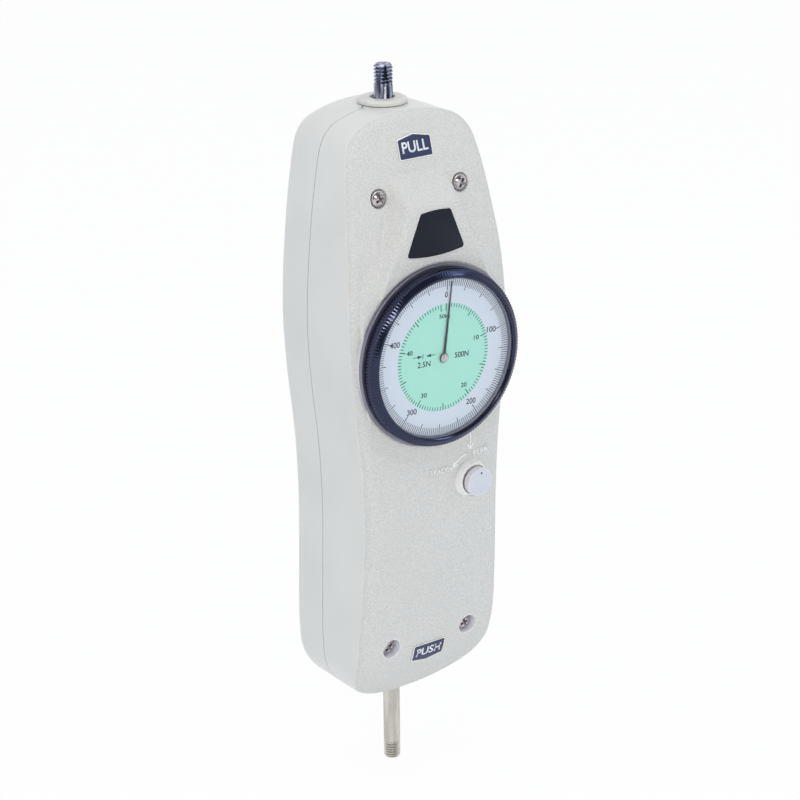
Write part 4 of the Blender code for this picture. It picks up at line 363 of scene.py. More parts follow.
def case_finish():
    """Moulded plastic: smooth on the sides, with a fine leather grain on the face."""
    made = Finish("case_plastic", CASE_COLOUR, 0.4)
    ground = made.mottle(30 * MM, CASE_COLOUR, 0.006, 0.014)
    behind = made.ramp(made.axes(made.place)["Y"], -5.0 * MM, -4.0 * MM)

    def outside(x, height, low, high):
        """0 on the front within a radius of a place, 1 elsewhere."""
        return made.math("MAXIMUM", made.ramp(made.reach(x, height), low, high), behind)

    # The boss is smooth and painted lighter than the face: painted light that stands in for the
    # light its cone catches.
    off_boss = outside(KNOB_X, KNOB_HEIGHT, 6.4 * MM, 6.8 * MM)
    ground = made.mix_colour(off_boss, BORDER_AND_PAINTED_BOSS_LIGHT_COLOUR, ground)
    # The lower counterbores are painted pale lavender: painted light, with the cool tint of their
    # shade, on their walls.
    for x, height in SCREW_PLACES[2:]:
        ground = made.mix_colour(outside(x, height, 3.9 * MM, 4.1 * MM), BORE_PAINTED_LIGHT_COLOUR, ground)
    forward = made.math("MULTIPLY", made.axes(made.turned)["Y"], -1.0)
    grain = made.math("MULTIPLY", made.ramp(forward, 0.12, 0.42), off_boss)
    pits = made.math("ADD", made.cells(0.55 * MM, 0.4), made.noise(0.4 * MM, 2.0))
    pits = made.math("MULTIPLY", pits, grain)
    made.bump(made.math("MULTIPLY", pits, -1.0), 0.16 * MM)
    # The grain's pits are painted darker: painted shade in the hollows of the grain.
    made.mix_colour(made.ramp(pits, 0.75, 1.25), ground, shade(CASE_COLOUR, -0.045))
    made.bump(made.noise(9 * MM, 1.0), 0.02 * MM)
    made.link(made.ramp(grain, 0, 1, 0.33, 0.55), made.shader.inputs["Roughness"])
    made.shader.inputs["Specular IOR Level"].default_value = 0.45
    return made.material


def plain_finish(name, colour, roughness, grain=0.4 * MM, depth=0.01 * MM, metallic=0.0,
                 gloss=0.5):
    """A smooth moulded or coated surface with faint mottling and haze."""
    made = Finish(name, colour, roughness, metallic)
    made.shader.inputs["Specular IOR Level"].default_value = gloss
    made.mottle(6 * MM, colour, 0.03, 0.02)
    made.vary_roughness(made.noise(3 * MM), roughness * 0.88, roughness * 1.15)
    made.bump(made.noise(grain, 2.0), depth)
    return made.material


def brushed_finish(name, colour, roughness, stretch, reflection_streaks=0.0):
    """Metal with fine drawn or turned marks along one direction, and painted reflection streaks
    along it: darker and lighter bands that stand in for mirrored surroundings.
    """
    made = Finish(name, colour, roughness, 1.0)
    lines = made.noise(0.25 * MM, 4.0, stretch)
    if reflection_streaks:
        # Painted reflection: darker and lighter bands along the metal stand in for the surroundings
        # it mirrors.
        made.mix_colour(made.ramp(made.noise(3 * MM, 2.0, stretch), 0.36, 0.64),
                        shade(colour, -reflection_streaks), shade(colour, reflection_streaks * 0.5))
    else:
        made.mottle(4 * MM, colour, 0.06, 0.04)
    made.vary_roughness(lines, roughness * 0.7, roughness * 1.4)
    made.bump(lines, 0.004 * MM)
    return made.material


def knob_finish():
    """Moulded plastic whose knurled side is painted paler than its face, as painted light that the
    side catches.
    """
    made = Finish("knob_plastic", KNOB_COLOUR, 0.32)
    side = made.ramp(made.reach(KNOB_X, KNOB_HEIGHT), KNOB_RADIUS - 0.4 * MM,
                     KNOB_RADIUS - 0.2 * MM)
    # The paler side colour is painted light: it stands in for the light the knurled side catches.
    made.mix_colour(side, made.mottle(6 * MM, KNOB_COLOUR, 0.02, 0.02), KNOB_SIDE_PAINTED_LIGHT_COLOUR)
    made.vary_roughness(made.noise(3 * MM), 0.28, 0.37)
    made.bump(made.noise(0.4 * MM, 2.0), 0.01 * MM)
    return made.material


def dial_finish():
    """White enamel with the green disc of the inner scale."""
    made = Finish("dial_white", DIAL_COLOUR, 0.5)
    outside = made.ramp(made.reach(0, DIAL_HEIGHT), GREEN_RADIUS - 0.03 * MM,
                        GREEN_RADIUS + 0.03 * MM)
    ground = made.mix_colour(outside, GREEN_COLOUR, DIAL_COLOUR)
    mottled = made.node("Mix", {"Factor": 0.04, 6: ground, 7: made.noise(2 * MM)},
                        data_type="RGBA", blend_type="MULTIPLY")[2]
    made.link(mottled, made.shader.inputs["Base Color"])
    made.bump(made.noise(0.3 * MM, 2.0), 0.003 * MM)
    return made.material


def glass_finish():
    """Clear crystal that lets the light through and mirrors a little at its outer faces."""
    made = Finish("crystal_clear", (250, 252, 255), 0.03, 1.0)
    made.shader.inputs["IOR"].default_value = 1.5
    made.bump(made.noise(14 * MM, 1.0), 0.004 * MM)
    lit = made.math("SUBTRACT", 1.0, made.node("LightPath", {})["Is Shadow Ray"])
    outer = made.math("SUBTRACT", 1.0, made.node("NewGeometry", {})["Backfacing"])
    mirror = made.math("MULTIPLY", made.node("Fresnel", {"IOR": 1.45})[0], lit)
    made.surface(made.blend(made.math("MULTIPLY", mirror, outer),
                            made.node("BsdfTransparent", {})[0], made.shader.outputs[0]))
    return made.material


FINISHES = {
    "case": case_finish(),
    "bush": plain_finish("guide_plastic", BUSH_COLOUR, 0.38),
    "knob": knob_finish(),
    "bezel": plain_finish("black_anodised", (54, 59, 82), 0.14, 0.3 * MM, 0.002 * MM, 0.9),
    "flange": plain_finish("grey_anodised", (132, 132, 150), 0.32, 0.3 * MM, 0.003 * MM, 0.85),
    "dial": dial_finish(),
    "glass": glass_finish(),
    "pointer": plain_finish("pointer_black", POINTER_COLOUR, 0.4),
    "ink": plain_finish("dial_ink", INK_COLOUR, 0.6, 0.2 * MM, 0.002 * MM),
    "badge": plain_finish("badge_navy", BADGE_COLOUR, 0.35, 0.25 * MM, 0.006 * MM, gloss=0.2),
    "plate": plain_finish("plate_slate", PLATE_COLOUR, 0.42, 0.25 * MM, 0.006 * MM, gloss=0.35),
    "edge": plain_finish("case_edge", BORDER_AND_PAINTED_BOSS_LIGHT_COLOUR, 0.4, 0.4 * MM, 0.004 * MM),
    # The raised words and marks are painted lighter than the case: painted highlight for the light
    # their strokes catch.
    "word": plain_finish("raised_word", WORD_PAINTED_HIGHLIGHT_COLOUR, 0.4, 0.4 * MM, 0.004 * MM),
    "letter": plain_finish("letter_white", LETTER_COLOUR, 0.5, 0.25 * MM, 0.004 * MM),
    # The chrome's dark colour and strong streaks are painted reflection of dim surroundings.
    "chrome": brushed_finish("chrome", (124, 130, 148), 0.3, (2.5, 2.5, 0.3), 0.7),
    "cap": brushed_finish("cap_silver", (200, 198, 200), 0.3, (1, 1, 1)),
    "satin": brushed_finish("satin_steel", (206, 203, 196), 0.34, (1, 1, 0.15), 0.07),
    "screw": brushed_finish("screw_steel", (196, 190, 194), 0.2, (1, 1, 1)),
    "steel": brushed_finish("plated_steel", (180, 180, 186), 0.35, (1, 1, 0.2)),
    "spring": brushed_finish("spring_steel", (140, 140, 148), 0.3, (0.2, 1, 1)),
    "aluminium": brushed_finish("aluminium", (200, 202, 206), 0.4, (0.2, 1, 1)),
    "brass": brushed_finish("brass", (206, 172, 96), 0.3, (1, 0.3, 1)),
}


def shares_through(table, values):
    """Reads a smooth curve through a table of (place, amount) shares at many values."""
    places = np.array([row[0] for row in table])
    amounts = np.array([row[1] for row in table])
    last = len(table) - 1
    values = np.clip(np.asarray(values, float), places[0], places[last])
    i = np.clip(np.searchsorted(places, values, side="right") - 1, 0, last - 1)
    before = np.maximum(np.arange(last + 1) - 1, 0)
    after = np.minimum(np.arange(last + 1) + 1, last)
    slopes = (amounts[after] - amounts[before]) / (places[after] - places[before])
    width = places[i + 1] - places[i]
    t = (values - places[i]) / width
    start = (1 + 2 * t) * (1 - t) ** 2 * amounts[i] + t * (1 - t) ** 2 * width * slopes[i]
    end = t * t * (3 - 2 * t) * amounts[i + 1] + t * t * (t - 1) * width * slopes[i + 1]
    return start + end


def case_share(height):
    """A height as a share of the case's."""
    return (np.asarray(height) - CASE_BOTTOM) / CASE_HEIGHT


def face_depth(height):
    """How far the plain front face stands out at a height, for numbers or arrays."""
    return FACE_DEPTH * shares_through(FACE_SHARES, case_share(height))


def softer_max(first, second, reach):
    """The larger of two arrays, rounded where they cross."""
    near = np.maximum(reach - np.abs(first - second), 0) / reach
    return np.maximum(first, second) + near * near * reach / 4


def nose_depth(x, z):
    """The nose's surface as a depth over the face: a facet, a ramp and two slopes."""
    along = Vector((NOSE_TOP_HALF_WIDTH - NOSE_FOOT_HALF_WIDTH, NOSE_TOP - NOSE_FOOT)).normalized()
    side = (np.abs(x) - NOSE_FOOT_HALF_WIDTH) * along.y - (z - NOSE_FOOT) * along.x
    ramp = (z - NOSE_TOP) / NOSE_RAMP_SLOPE
    fall = softer_max(side / NOSE_SIDE_SLOPE, ramp, NOSE_CORNER_SOFTNESS)
    fall = np.maximum(fall, (NOSE_FOOT - z) / NOSE_SIDE_SLOPE)
    return NOSE_DEPTH - softer_max(fall, np.zeros_like(fall), NOSE_EDGE_SOFTNESS)


def seat_swell(x, z):
    """The broad swelling that carries the face up to the dial's seat."""
    reach = np.maximum(np.hypot(x, z - DIAL_HEIGHT) - FLANGE_RADIUS, 0)
    return SEAT_DEPTH - 0.1 * MM - reach * (SEAT_SLOPE + SEAT_CURVE * reach)


def face_relief(x, z):
    """The whole front face's depth: plain face, swelling and nose."""
    plain = softer_max(face_depth(z), seat_swell(x, z), SEAT_SOFTNESS)
    return softer_max(plain, nose_depth(x, z), NOSE_FOOT_SOFTNESS)


def corner_points(start, start_way, end, end_way):
    """A rounded corner between two directions, without its end points."""
    cross = start_way[0] * end_way[1] - start_way[1] * end_way[0]
    across = (end[0] - start[0], end[1] - start[1])
    reach = (across[0] * end_way[1] - across[1] * end_way[0]) / cross
    knee = (start[0] + start_way[0] * reach, start[1] + start_way[1] * reach)
    t = np.linspace(0, 1, ARC_POINTS + 1)[1:-1]
    return np.stack([(1 - t) ** 2 * start[k] + 2 * t * (1 - t) * knee[k] + t * t * end[k]
                     for k in (0, 1)], 1)


def half_outline():
    """The case's right half from the front, from bottom centre to top centre, finely stepped."""
    chin_sweep = math.asin(CHIN_ARC_HALF_WIDTH / CHIN_ARC_RADIUS)
    angle = np.linspace(0, chin_sweep, ARC_POINTS)
    chin = np.stack([CHIN_ARC_RADIUS * np.sin(angle),
                     CASE_BOTTOM + CHIN_ARC_RADIUS * (1 - np.cos(angle))], 1)
    crown_sweep = math.asin(CROWN_ARC_HALF_WIDTH / CROWN_ARC_RADIUS)
    angle = np.linspace(crown_sweep, 0, ARC_POINTS)
    crown = np.stack([CROWN_ARC_RADIUS * np.sin(angle),
                      CASE_TOP - CROWN_ARC_RADIUS * (1 - np.cos(angle))], 1)
    low = CASE_BOTTOM + CASE_HEIGHT * SIDE_SHARES[0][0]
    high = CASE_BOTTOM + CASE_HEIGHT * SIDE_SHARES[-1][0]
    heights = np.concatenate([np.arange(low, FINE_LOW, COARSE_STEP),
                              np.arange(FINE_LOW, FINE_HIGH, FINE_STEP), [FINE_HIGH, high]])
    widths = CASE_HALF_WIDTH * shares_through(SIDE_SHARES, case_share(heights))
    side = np.stack([widths, heights], 1)
    lower = corner_points(chin[-1], (math.cos(chin_sweep), math.sin(chin_sweep)),
                          side[0], side[1] - side[0])
    upper = corner_points(side[-1], side[-1] - side[-2], crown[0],
                          (-math.cos(crown_sweep), math.sin(crown_sweep)))
    return np.concatenate([chin, lower, side, upper, crown])


def inset(half, distances):
    """Moves a half outline inwards by a distance for each point."""
    along = np.vstack([half[1:], half[-1:]]) - np.vstack([half[:1], half[:-1]])
    along[0] = (1, 0)
    along[-1] = (-1, 0)
    along /= np.linalg.norm(along, axis=1)[:, None]
    moved = half + np.stack([-along[:, 1], along[:, 0]], 1) * np.asarray(distances)[:, None]
    moved[[0, -1], 0] = 0
    return moved


def circle(steps):
    """Even angles all the way round."""
    return np.arange(steps) * 2 * math.pi / steps


def ring_numbers(count, sides, first=0):
    """The vertex numbers of rings that follow one another."""
    return [first + sides * k + np.arange(sides) for k in range(count)]


def ring_walls(rings):
    """Faces between each ring of vertex numbers and the next."""
    faces = []
    for low, high in zip(rings, rings[1:]):
        faces += np.stack([low, np.roll(low, -1), np.roll(high, -1), high], 1).tolist()
    return faces


def tube_faces(rings):
    """The walls through all rings and a cap on each end."""
    return [rings[0].tolist(), rings[-1].tolist()] + ring_walls(rings)


def bowl(half, depth_at, relief_at, radii, edge_steps, columns, way, first):
    """Vertices and faces of one bowl of the case; returns them and the seam ring's numbers."""
    rows = [np.column_stack([half, np.full(len(half), SEAM_GAP / 2)])]
    for step in range(edge_steps + 1):
        angle = math.pi / 2 * step / edge_steps
        drawn = inset(half, radii * (1 - math.cos(angle)))
        rows.append(np.column_stack([drawn, depth_at(drawn[:, 1]) - radii * (1 - math.sin(angle))]))
    points = []
    for row in rows:
        ring = np.concatenate([row, row[1:-1][::-1] * (-1, 1, 1)])
        points.append(np.stack([ring[:, 0], way * ring[:, 2], ring[:, 1]], 1))
    count = 2 * len(half) - 2
    rings = ring_numbers(len(rows), count, first)
    faces = ring_walls(rings)
    rim, edge = rings[-1], rows[-1]
    last = len(half) - 1
    shares = np.linspace(-1, 1, columns + 2)[1:-1]
    across = edge[1:last, 0][:, None] * shares[None, :]
    heights = np.repeat(edge[1:last, 1][:, None], columns, 1)
    depth = relief_at(across, heights)
    points.append(np.stack([across.ravel(), (way * depth).ravel(), heights.ravel()], 1))
    inner = first + count * len(rows) + np.arange((last - 1) * columns).reshape(last - 1, columns)
    lines = np.column_stack([rim[count - np.arange(1, last)], inner, rim[np.arange(1, last)]])
    for low, high in zip(lines, lines[1:]):
        faces += np.stack([low[:-1], low[1:], high[1:], high[:-1]], 1).tolist()
    for tip, line in ((rim[0], lines[0]), (rim[last], lines[-1])):
        faces += [[tip, a, b] for a, b in zip(line.tolist(), line[1:].tolist())]
    return np.concatenate(points), faces, rings[0]


def in_scene(name, data):
    """A new object in the scene round a mesh, a curve, a lamp or a camera."""
    made = bpy.data.objects.new(name, data)
    bpy.context.scene.collection.objects.link(made)
    return made


def shown(name, mesh, kind):
    """A piece round a mesh, with one kind of finish."""
    mesh.materials.append(FINISHES[kind])
    return in_scene(name, mesh)


def bmesh_object(name, bm, kind):
    """A piece from a bmesh, which is freed."""
    mesh = bpy.data.meshes.new(name)
    bm.to_mesh(mesh)
    bm.free()
    return shown(name, mesh, kind)


def smoothed(mesh, angle=SMOOTH_ANGLE):
    """Shades a mesh smooth but for its sharp edges."""
    mesh.shade_smooth()
    mesh.set_sharp_from_angle(angle=angle)


def mesh_object(name, points, faces, kind="case", smooth=SMOOTH_ANGLE):
    """An object from points and faces, its faces turned outwards and its edges shaded."""
    mesh = bpy.data.meshes.new(name)
    mesh.from_pydata(np.asarray(points).tolist(), [], faces)
    bm = bmesh.new()
    bm.from_mesh(mesh)
    bmesh.ops.recalc_face_normals(bm, faces=bm.faces)
    bm.to_mesh(mesh)
    bm.free()
    smoothed(mesh, smooth)
    return shown(name, mesh, kind)


def case_shell(name, depth_at, relief_at, radii_at, columns, way):
    """A hollow shell: an outer and an inner bowl that meet at the seam."""
    half = half_outline()
    outer, outer_faces, outer_rim = bowl(half, depth_at, relief_at, radii_at(half[:, 1]),
                                         EDGE_STEPS, columns, way, 0)

    def inner_depth(height):
        return np.maximum(depth_at(height) - CASE_WALL, SEAM_GAP + INNER_EDGE_RADIUS)

    inner, inner_faces, inner_rim = bowl(
        inset(half, np.full(len(half), CASE_WALL)), inner_depth, lambda x, z: inner_depth(z),
        np.full(len(half), INNER_EDGE_RADIUS), 2, 2, way, len(outer))
    return mesh_object(name, np.concatenate([outer, inner]),
                       outer_faces + inner_faces + ring_walls([outer_rim, inner_rim]))


def rounded(points, closed=False, steps=5):
    """A profile whose points may carry a third value, the radius of their rounding."""
    made = []
    count = len(points)
    for i, point in enumerate(points):
        here = Vector(point[:2])
        radius = point[2] if len(point) > 2 else 0
        if not radius or (not closed and i in (0, count - 1)):
            made.append(tuple(here))
            continue
        back = Vector(points[i - 1][:2]) - here
        ahead = Vector(points[(i + 1) % count][:2]) - here
        turn = back.angle(ahead)
        cut = min(radius / math.tan(turn / 2), back.length * 0.49, ahead.length * 0.49)
        start = here + back.normalized() * cut
        end = here + ahead.normalized() * cut
        for step in range(steps + 1):
            t = step / steps
            made.append(tuple((1 - t) ** 2 * start + 2 * t * (1 - t) * here + t * t * end))
    return made


def turned(name, profile, kind="case", steps=128, ripple=None):
    """Turns (radius, height) points round Z; a ripple (count, depth, low, high) knurls a band."""
    angles = circle(steps)
    points = []
    rings = []
    for radius, height in profile:
        if radius <= 0:
            rings.append([len(points)] * steps)
            points.append((0, 0, height))
            continue
        radii = np.full(steps, radius)
        if ripple and ripple[2] <= height <= ripple[3]:
            radii = radii - ripple[1] * (0.5 - 0.5 * np.cos(ripple[0] * angles))
        rings.append(list(range(len(points), len(points) + steps)))
        points += zip((radii * np.cos(angles)).tolist(), (radii * np.sin(angles)).tolist(),
                      [height] * steps)
    pairs = list(zip(rings, rings[1:]))
    if all(radius > 0 for radius, _ in profile):
        pairs.append((rings[-1], rings[0]))
    faces = []
    for low, high in pairs:
        for i in range(steps):
            j = (i + 1) % steps
            corners = list(dict.fromkeys((low[i], low[j], high[j], high[i])))
            if len(corners) > 2:
                faces.append(corners)
    return mesh_object(name, points, faces, kind)


def place(made, matrix):
    """Bakes a placing matrix into an object's mesh."""
    made.data.transform(matrix)
    return made


def facing_front(made, x, height):
    """Points a turned piece's +Z to the front, so its heights become depths."""
    return place(made, Matrix.Translation((x, 0, height)) @ Matrix.Rotation(math.pi / 2, 4, "X"))


def lathe(name, profile, x, height, kind="case", steps=128, ripple=None):
    """A piece turned round a depth axis, from (radius, depth) points."""
    return facing_front(turned(name, profile, kind, steps, ripple), x, height)


def bar_profile(radius, low, high):
    """The profile of a plain round bar."""
    return [(0, high), (radius, high), (radius, low), (0, low)]


def joined(name, pieces, kind="case"):
    """Puts several objects' meshes into one object and removes them."""
    bm = bmesh.new()
    for piece in pieces:
        bm.from_mesh(piece.data)
        bpy.data.objects.remove(piece, do_unlink=True)
    return bmesh_object(name, bm, kind)


def as_shown(made):
    """A copy of an object's mesh with its modifiers applied."""
    bpy.context.view_layer.update()
    graph = bpy.context.evaluated_depsgraph_get()
    return bpy.data.meshes.new_from_object(made.evaluated_get(graph))


def combine(target, tool, operation):
    """Cuts or joins a closed tool with a closed target and removes the tool."""
    step = target.modifiers.new("Combine", "BOOLEAN")
    step.operation = operation
    step.solver = "MANIFOLD"
    step.object = tool
    mesh = as_shown(target)
    target.modifiers.clear()
    target.data = mesh
    bpy.data.objects.remove(tool, do_unlink=True)
    smoothed(mesh)
    return target


def depths(low, high):
    """The rear and front depths of a box."""
    return -high.y, -low.y


def dress(made, body, node=None):
    """Says which body a piece moves with and the CAD node that it replaces."""
    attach(made, body)
    if node:
        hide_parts(node)
    return made


def screw_head_depth(i):
    """The depth of a case screw's head front: its CAD solid's, and how much higher it shows."""
    return -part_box(f"case_screw_{i + 1}")[0].y + SCREW_LIFTS[i]


def counterbore(i):
    """A screw's counterbore and way, whose mouth is rounded along the sloping face."""
    x, height = SCREW_PLACES[i]
    wide = COUNTERBORE_RADII[i]
    floor = screw_head_depth(i) - SCREW_HEAD_HEIGHT - GAP
    steps, lip_steps = 96, 5
    angles = circle(steps)
    shank = SCREW_SHANK_RADIUS + GAP
    rows = [(shank, None, -OVERRUN), (shank, None, floor), (wide, None, floor)]
    for step in range(lip_steps + 1):
        angle = math.radians(70) * step / lip_steps
        rows.append((wide + COUNTERBORE_LIP * (1 - math.cos(angle)),
                     -COUNTERBORE_LIP * (1 - math.sin(angle)), 0))
    rows.append((rows[-1][0] + COUNTERBORE_LIP, OVERRUN, 0))
    points = []
    for radius, lift, flat in rows:
        zs = height + radius * np.sin(angles)
        depth = np.full(steps, flat) if lift is None else face_depth(zs) + lift
        points.append(np.stack([x + radius * np.cos(angles), -depth, zs], 1))
    return mesh_object(f"counterbore_{i + 1}", np.concatenate(points),
                       tube_faces(ring_numbers(len(rows), steps)))


def nose_trim():
    """A tool that clears the nose where the dial's flange turns, and spares the face."""
    steps, rows = 256, 40
    angles = circle(steps)
    reach = FLANGE_RADIUS + NOSE_CLEARANCE
    points = [np.array([[0, -SEAT_DEPTH - FINE_GAP, DIAL_HEIGHT]])]
    for row in range(1, rows + 1):
        xs = reach * row / rows * np.cos(angles)
        zs = DIAL_HEIGHT + reach * row / rows * np.sin(angles)
        floor = np.maximum(face_depth(zs), seat_swell(xs, zs))
        points.append(np.stack([xs, -floor - 0.02 * MM, zs], 1))
    points.append(np.stack([xs, np.full(steps, -NOSE_DEPTH - OVERRUN), zs], 1))
    rings = ring_numbers(rows + 1, steps, 1)
    faces = [[0, a, b] for a, b in zip(rings[0].tolist(), np.roll(rings[0], -1).tolist())]
    return mesh_object("nose_trim", np.concatenate(points),
                       faces + ring_walls(rings) + [rings[-1].tolist()])


def badge_outline(margin, steps=10):
    """The badge's trapezoid, whose long edges bulge outwards, grown by a margin."""
    top = BADGE_HIGH.z + margin
    bottom = BADGE_BOTTOM - margin
    radius = BADGE_CORNER_RADIUS + max(margin, 0)
    corners = [(BADGE_BOTTOM_HALF_WIDTH + margin, bottom, radius),
               (BADGE_TOP_HALF_WIDTH + margin, top, radius),
               (-BADGE_TOP_HALF_WIDTH - margin, top, radius),
               (-BADGE_BOTTOM_HALF_WIDTH - margin, bottom, radius)]
    points = rounded(corners, closed=True, steps=steps)
    length = len(points) // 4
    made = []
    for i in range(4):
        end = (i + 1) * length
        made += points[i * length:end]
        if i % 2:
            x, z = points[end - 1]
            next_x = points[end % len(points)][0]
            bulge = BADGE_TOP_BULGE if i == 1 else -BADGE_BOTTOM_BULGE
            for step in range(1, 4 * steps):
                share = step / (4 * steps)
                made.append((x + (next_x - x) * share, z + bulge * 4 * share * (1 - share)))
    return made


def slab(name, outline, rear, front, kind="case", edge=0):
    """An (x, z) outline made into a plate between two depths, its front edge rounded."""
    bm = bmesh.new()
    lower = [bm.verts.new((x, -rear, z)) for x, z in outline]
    upper = [bm.verts.new((x, -front, z)) for x, z in outline]
    count = len(outline)
    for i in range(count):
        j = (i + 1) % count
        bm.faces.new((lower[i], lower[j], upper[j], upper[i]))
    bm.faces.new(upper)
    bm.faces.new(lower)
    if edge:
        rim = [e for e in bm.edges if e.verts[0] in upper and e.verts[1] in upper]
        bmesh.ops.bevel(bm, geom=rim, offset=edge, segments=3, affect="EDGES", profile=0.5)
    bmesh.ops.recalc_face_normals(bm, faces=bm.faces)
    made = bmesh_object(name, bm, kind)
    smoothed(made.data, math.radians(50))
    return made


def half_pad(way):
    """Half of the low pad under the pull guide's flange."""
    points = []
    angles = np.linspace(0, math.pi, 65)
    for height in (CASE_TOP - CASE_WALL * 0.7, CASE_TOP + PAD_RISE):
        points += [(PAD_RADIUS * math.cos(a),
                    way * (max(PAD_RADIUS * math.sin(a) + way * GUIDE_BACK, 0) + SEAM_GAP / 2),
                    height) for a in angles]
    return mesh_object("pad", points, tube_faces(ring_numbers(2, len(angles))))


def shaft_bores():
    """Tools for the ways of the pull guide and the push guide."""
    bores = (("top_bore", BUSH_SLEEVE_RADIUS, CASE_TOP - 2 * OVERRUN, CASE_TOP + OVERRUN,
              GUIDE_BACK),
             ("bottom_bore", BOTTOM_BUSH_HIGH.x, CASE_BOTTOM - OVERRUN, CASE_BOTTOM + OVERRUN, 0))
    return [place(turned(name, bar_profile(radius + GAP, low, high), steps=96),
                  Matrix.Translation((0, back, 0))) for name, radius, low, high, back in bores]


def front_shell():
    """The front shell: grained face, nose, dial seat, knob boss and screw counterbores."""
    def radii(height):
        share = np.clip(case_share(height), 0, 1)
        return FACE_EDGE_RADIUS_BOTTOM + (FACE_EDGE_RADIUS_TOP - FACE_EDGE_RADIUS_BOTTOM) * share

    shell = case_shell("front_shell", face_depth, face_relief, radii, FACE_COLUMNS, -1)
    combine(shell, nose_trim(), "DIFFERENCE")
    seat_rear = SEAT_DEPTH - 2 * CASE_WALL
    face = float(face_depth(KNOB_HEIGHT))
    boss_rear = face - 1.6 * CASE_WALL
    foot = BOSS_RADIUS + BOSS_FLARE
    extras = [
        lathe("seat", rounded([(0, SEAT_DEPTH), (SEAT_RADIUS, SEAT_DEPTH, 0.3 * MM),
                               (SEAT_RADIUS, seat_rear), (0, seat_rear)]),
              0, DIAL_HEIGHT, steps=256),
        lathe("boss", rounded([(0, BOSS_DEPTH), (BOSS_RADIUS, BOSS_DEPTH, BOSS_EDGE),
                               (foot, face, BOSS_FOOT_RADIUS),
                               (foot + 1.6 * BOSS_FOOT_RADIUS, face - 0.06 * MM),
                               (BOSS_RADIUS, boss_rear), (0, boss_rear)]),
              KNOB_X - BOSS_SHIFT, KNOB_HEIGHT + BOSS_SHIFT),
        half_pad(-1)]
    for i, (x, height) in enumerate(SCREW_PLACES):
        front = min(float(face_depth(height + side)) - SCREW_BOSS_COVER
                    for side in (SCREW_BOSS_RADIUS, -SCREW_BOSS_RADIUS))
        extras.append(lathe(f"screw_boss_{i + 1}",
                            bar_profile(SCREW_BOSS_RADIUS, SEAM_GAP / 2, front),
                            x, height, steps=48))
    combine(shell, joined("front_extras", extras), "UNION")
    well, way = KNOB_RADIUS + FINE_GAP, KNOB_SHAFT_RADIUS + GAP
    tools = [
        lathe("dial_hole", bar_profile(DIAL_HOLE_RADIUS, OVERRUN, SEAT_DEPTH + OVERRUN),
              0, DIAL_HEIGHT, steps=192),
        lathe("knob_well", [(0, BOSS_DEPTH + OVERRUN), (well, BOSS_DEPTH + OVERRUN),
                            (well, KNOB_FLOOR_DEPTH), (way, KNOB_FLOOR_DEPTH),
                            (way, face - OVERRUN * 2), (0, face - OVERRUN * 2)],
              KNOB_X, KNOB_HEIGHT, steps=96),
        slab("badge_pocket", badge_outline(BADGE_BORDER), NOSE_DEPTH - BADGE_POCKET_DEPTH,
             NOSE_DEPTH + OVERRUN)]
    tools += shaft_bores()
    tools += [counterbore(i) for i in range(len(SCREW_PLACES))]
    combine(shell, joined("front_tools", tools), "DIFFERENCE")
    dress(shell, "case", "front_case")


def insert_boxes():
    """Each threaded insert's name, CAD box, x and height."""
    for i in range(4):
        low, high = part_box(f"mount_insert_{i + 1}")
        yield i + 1, low, high, (low.x + high.x) / 2, (low.z + high.z) / 2


def rear_shell():
    """The rear shell: smooth sides, broad rounded edge, flat back and mounting holes."""
    def level(value):
        return lambda first, *others: np.full_like(np.asarray(first, float), value)

    shell = case_shell("rear_shell", level(BACK_DEPTH), level(BACK_DEPTH), level(BACK_EDGE_RADIUS),
                       6, 1)
    extras = [half_pad(1)]
    floor = BACK_DEPTH - CASE_WALL / 2
    low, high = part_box("mount_insert_1")
    insert_radius = (high.x - low.x) / 2
    for i, (x, height) in enumerate(SCREW_PLACES):
        extras.append(lathe(f"rear_boss_{i + 1}",
                            bar_profile(SCREW_BOSS_RADIUS, -floor, -SEAM_GAP / 2),
                            x, height, steps=48))
    for i, _, _, x, height in insert_boxes():
        extras.append(lathe(f"insert_boss_{i}", bar_profile(
            insert_radius + INSERT_BOSS_WALL, -floor, -BACK_DEPTH + INSERT_BOSS_LENGTH),
            x, height, steps=48))
    combine(shell, joined("rear_extras", extras), "UNION")
    tools = shaft_bores()
    mouth = insert_radius + 0.3 * MM
    bottom = -BACK_DEPTH + INSERT_HOLE_LENGTH
    for i, _, _, x, height in insert_boxes():
        tools.append(lathe(f"insert_hole_{i}", [
            (0, -BACK_DEPTH - OVERRUN), (mouth + 0.6 * MM + OVERRUN, -BACK_DEPTH - OVERRUN),
            (mouth + 0.6 * MM, -BACK_DEPTH - 0.02 * MM), (mouth, -BACK_DEPTH + 0.5 * MM),
            (mouth, bottom), (0, bottom)], x, height, steps=64))
    for i, (x, height) in enumerate(SCREW_PLACES):
        tools.append(lathe(f"rear_screw_hole_{i + 1}",
                           bar_profile(SCREW_SHANK_RADIUS + GAP, -SCREW_TIP_DEPTH - GAP, OVERRUN),
                           x, height, steps=32))
    combine(shell, joined("rear_tools", tools), "DIFFERENCE")
    dress(shell, "case", "rear_case")


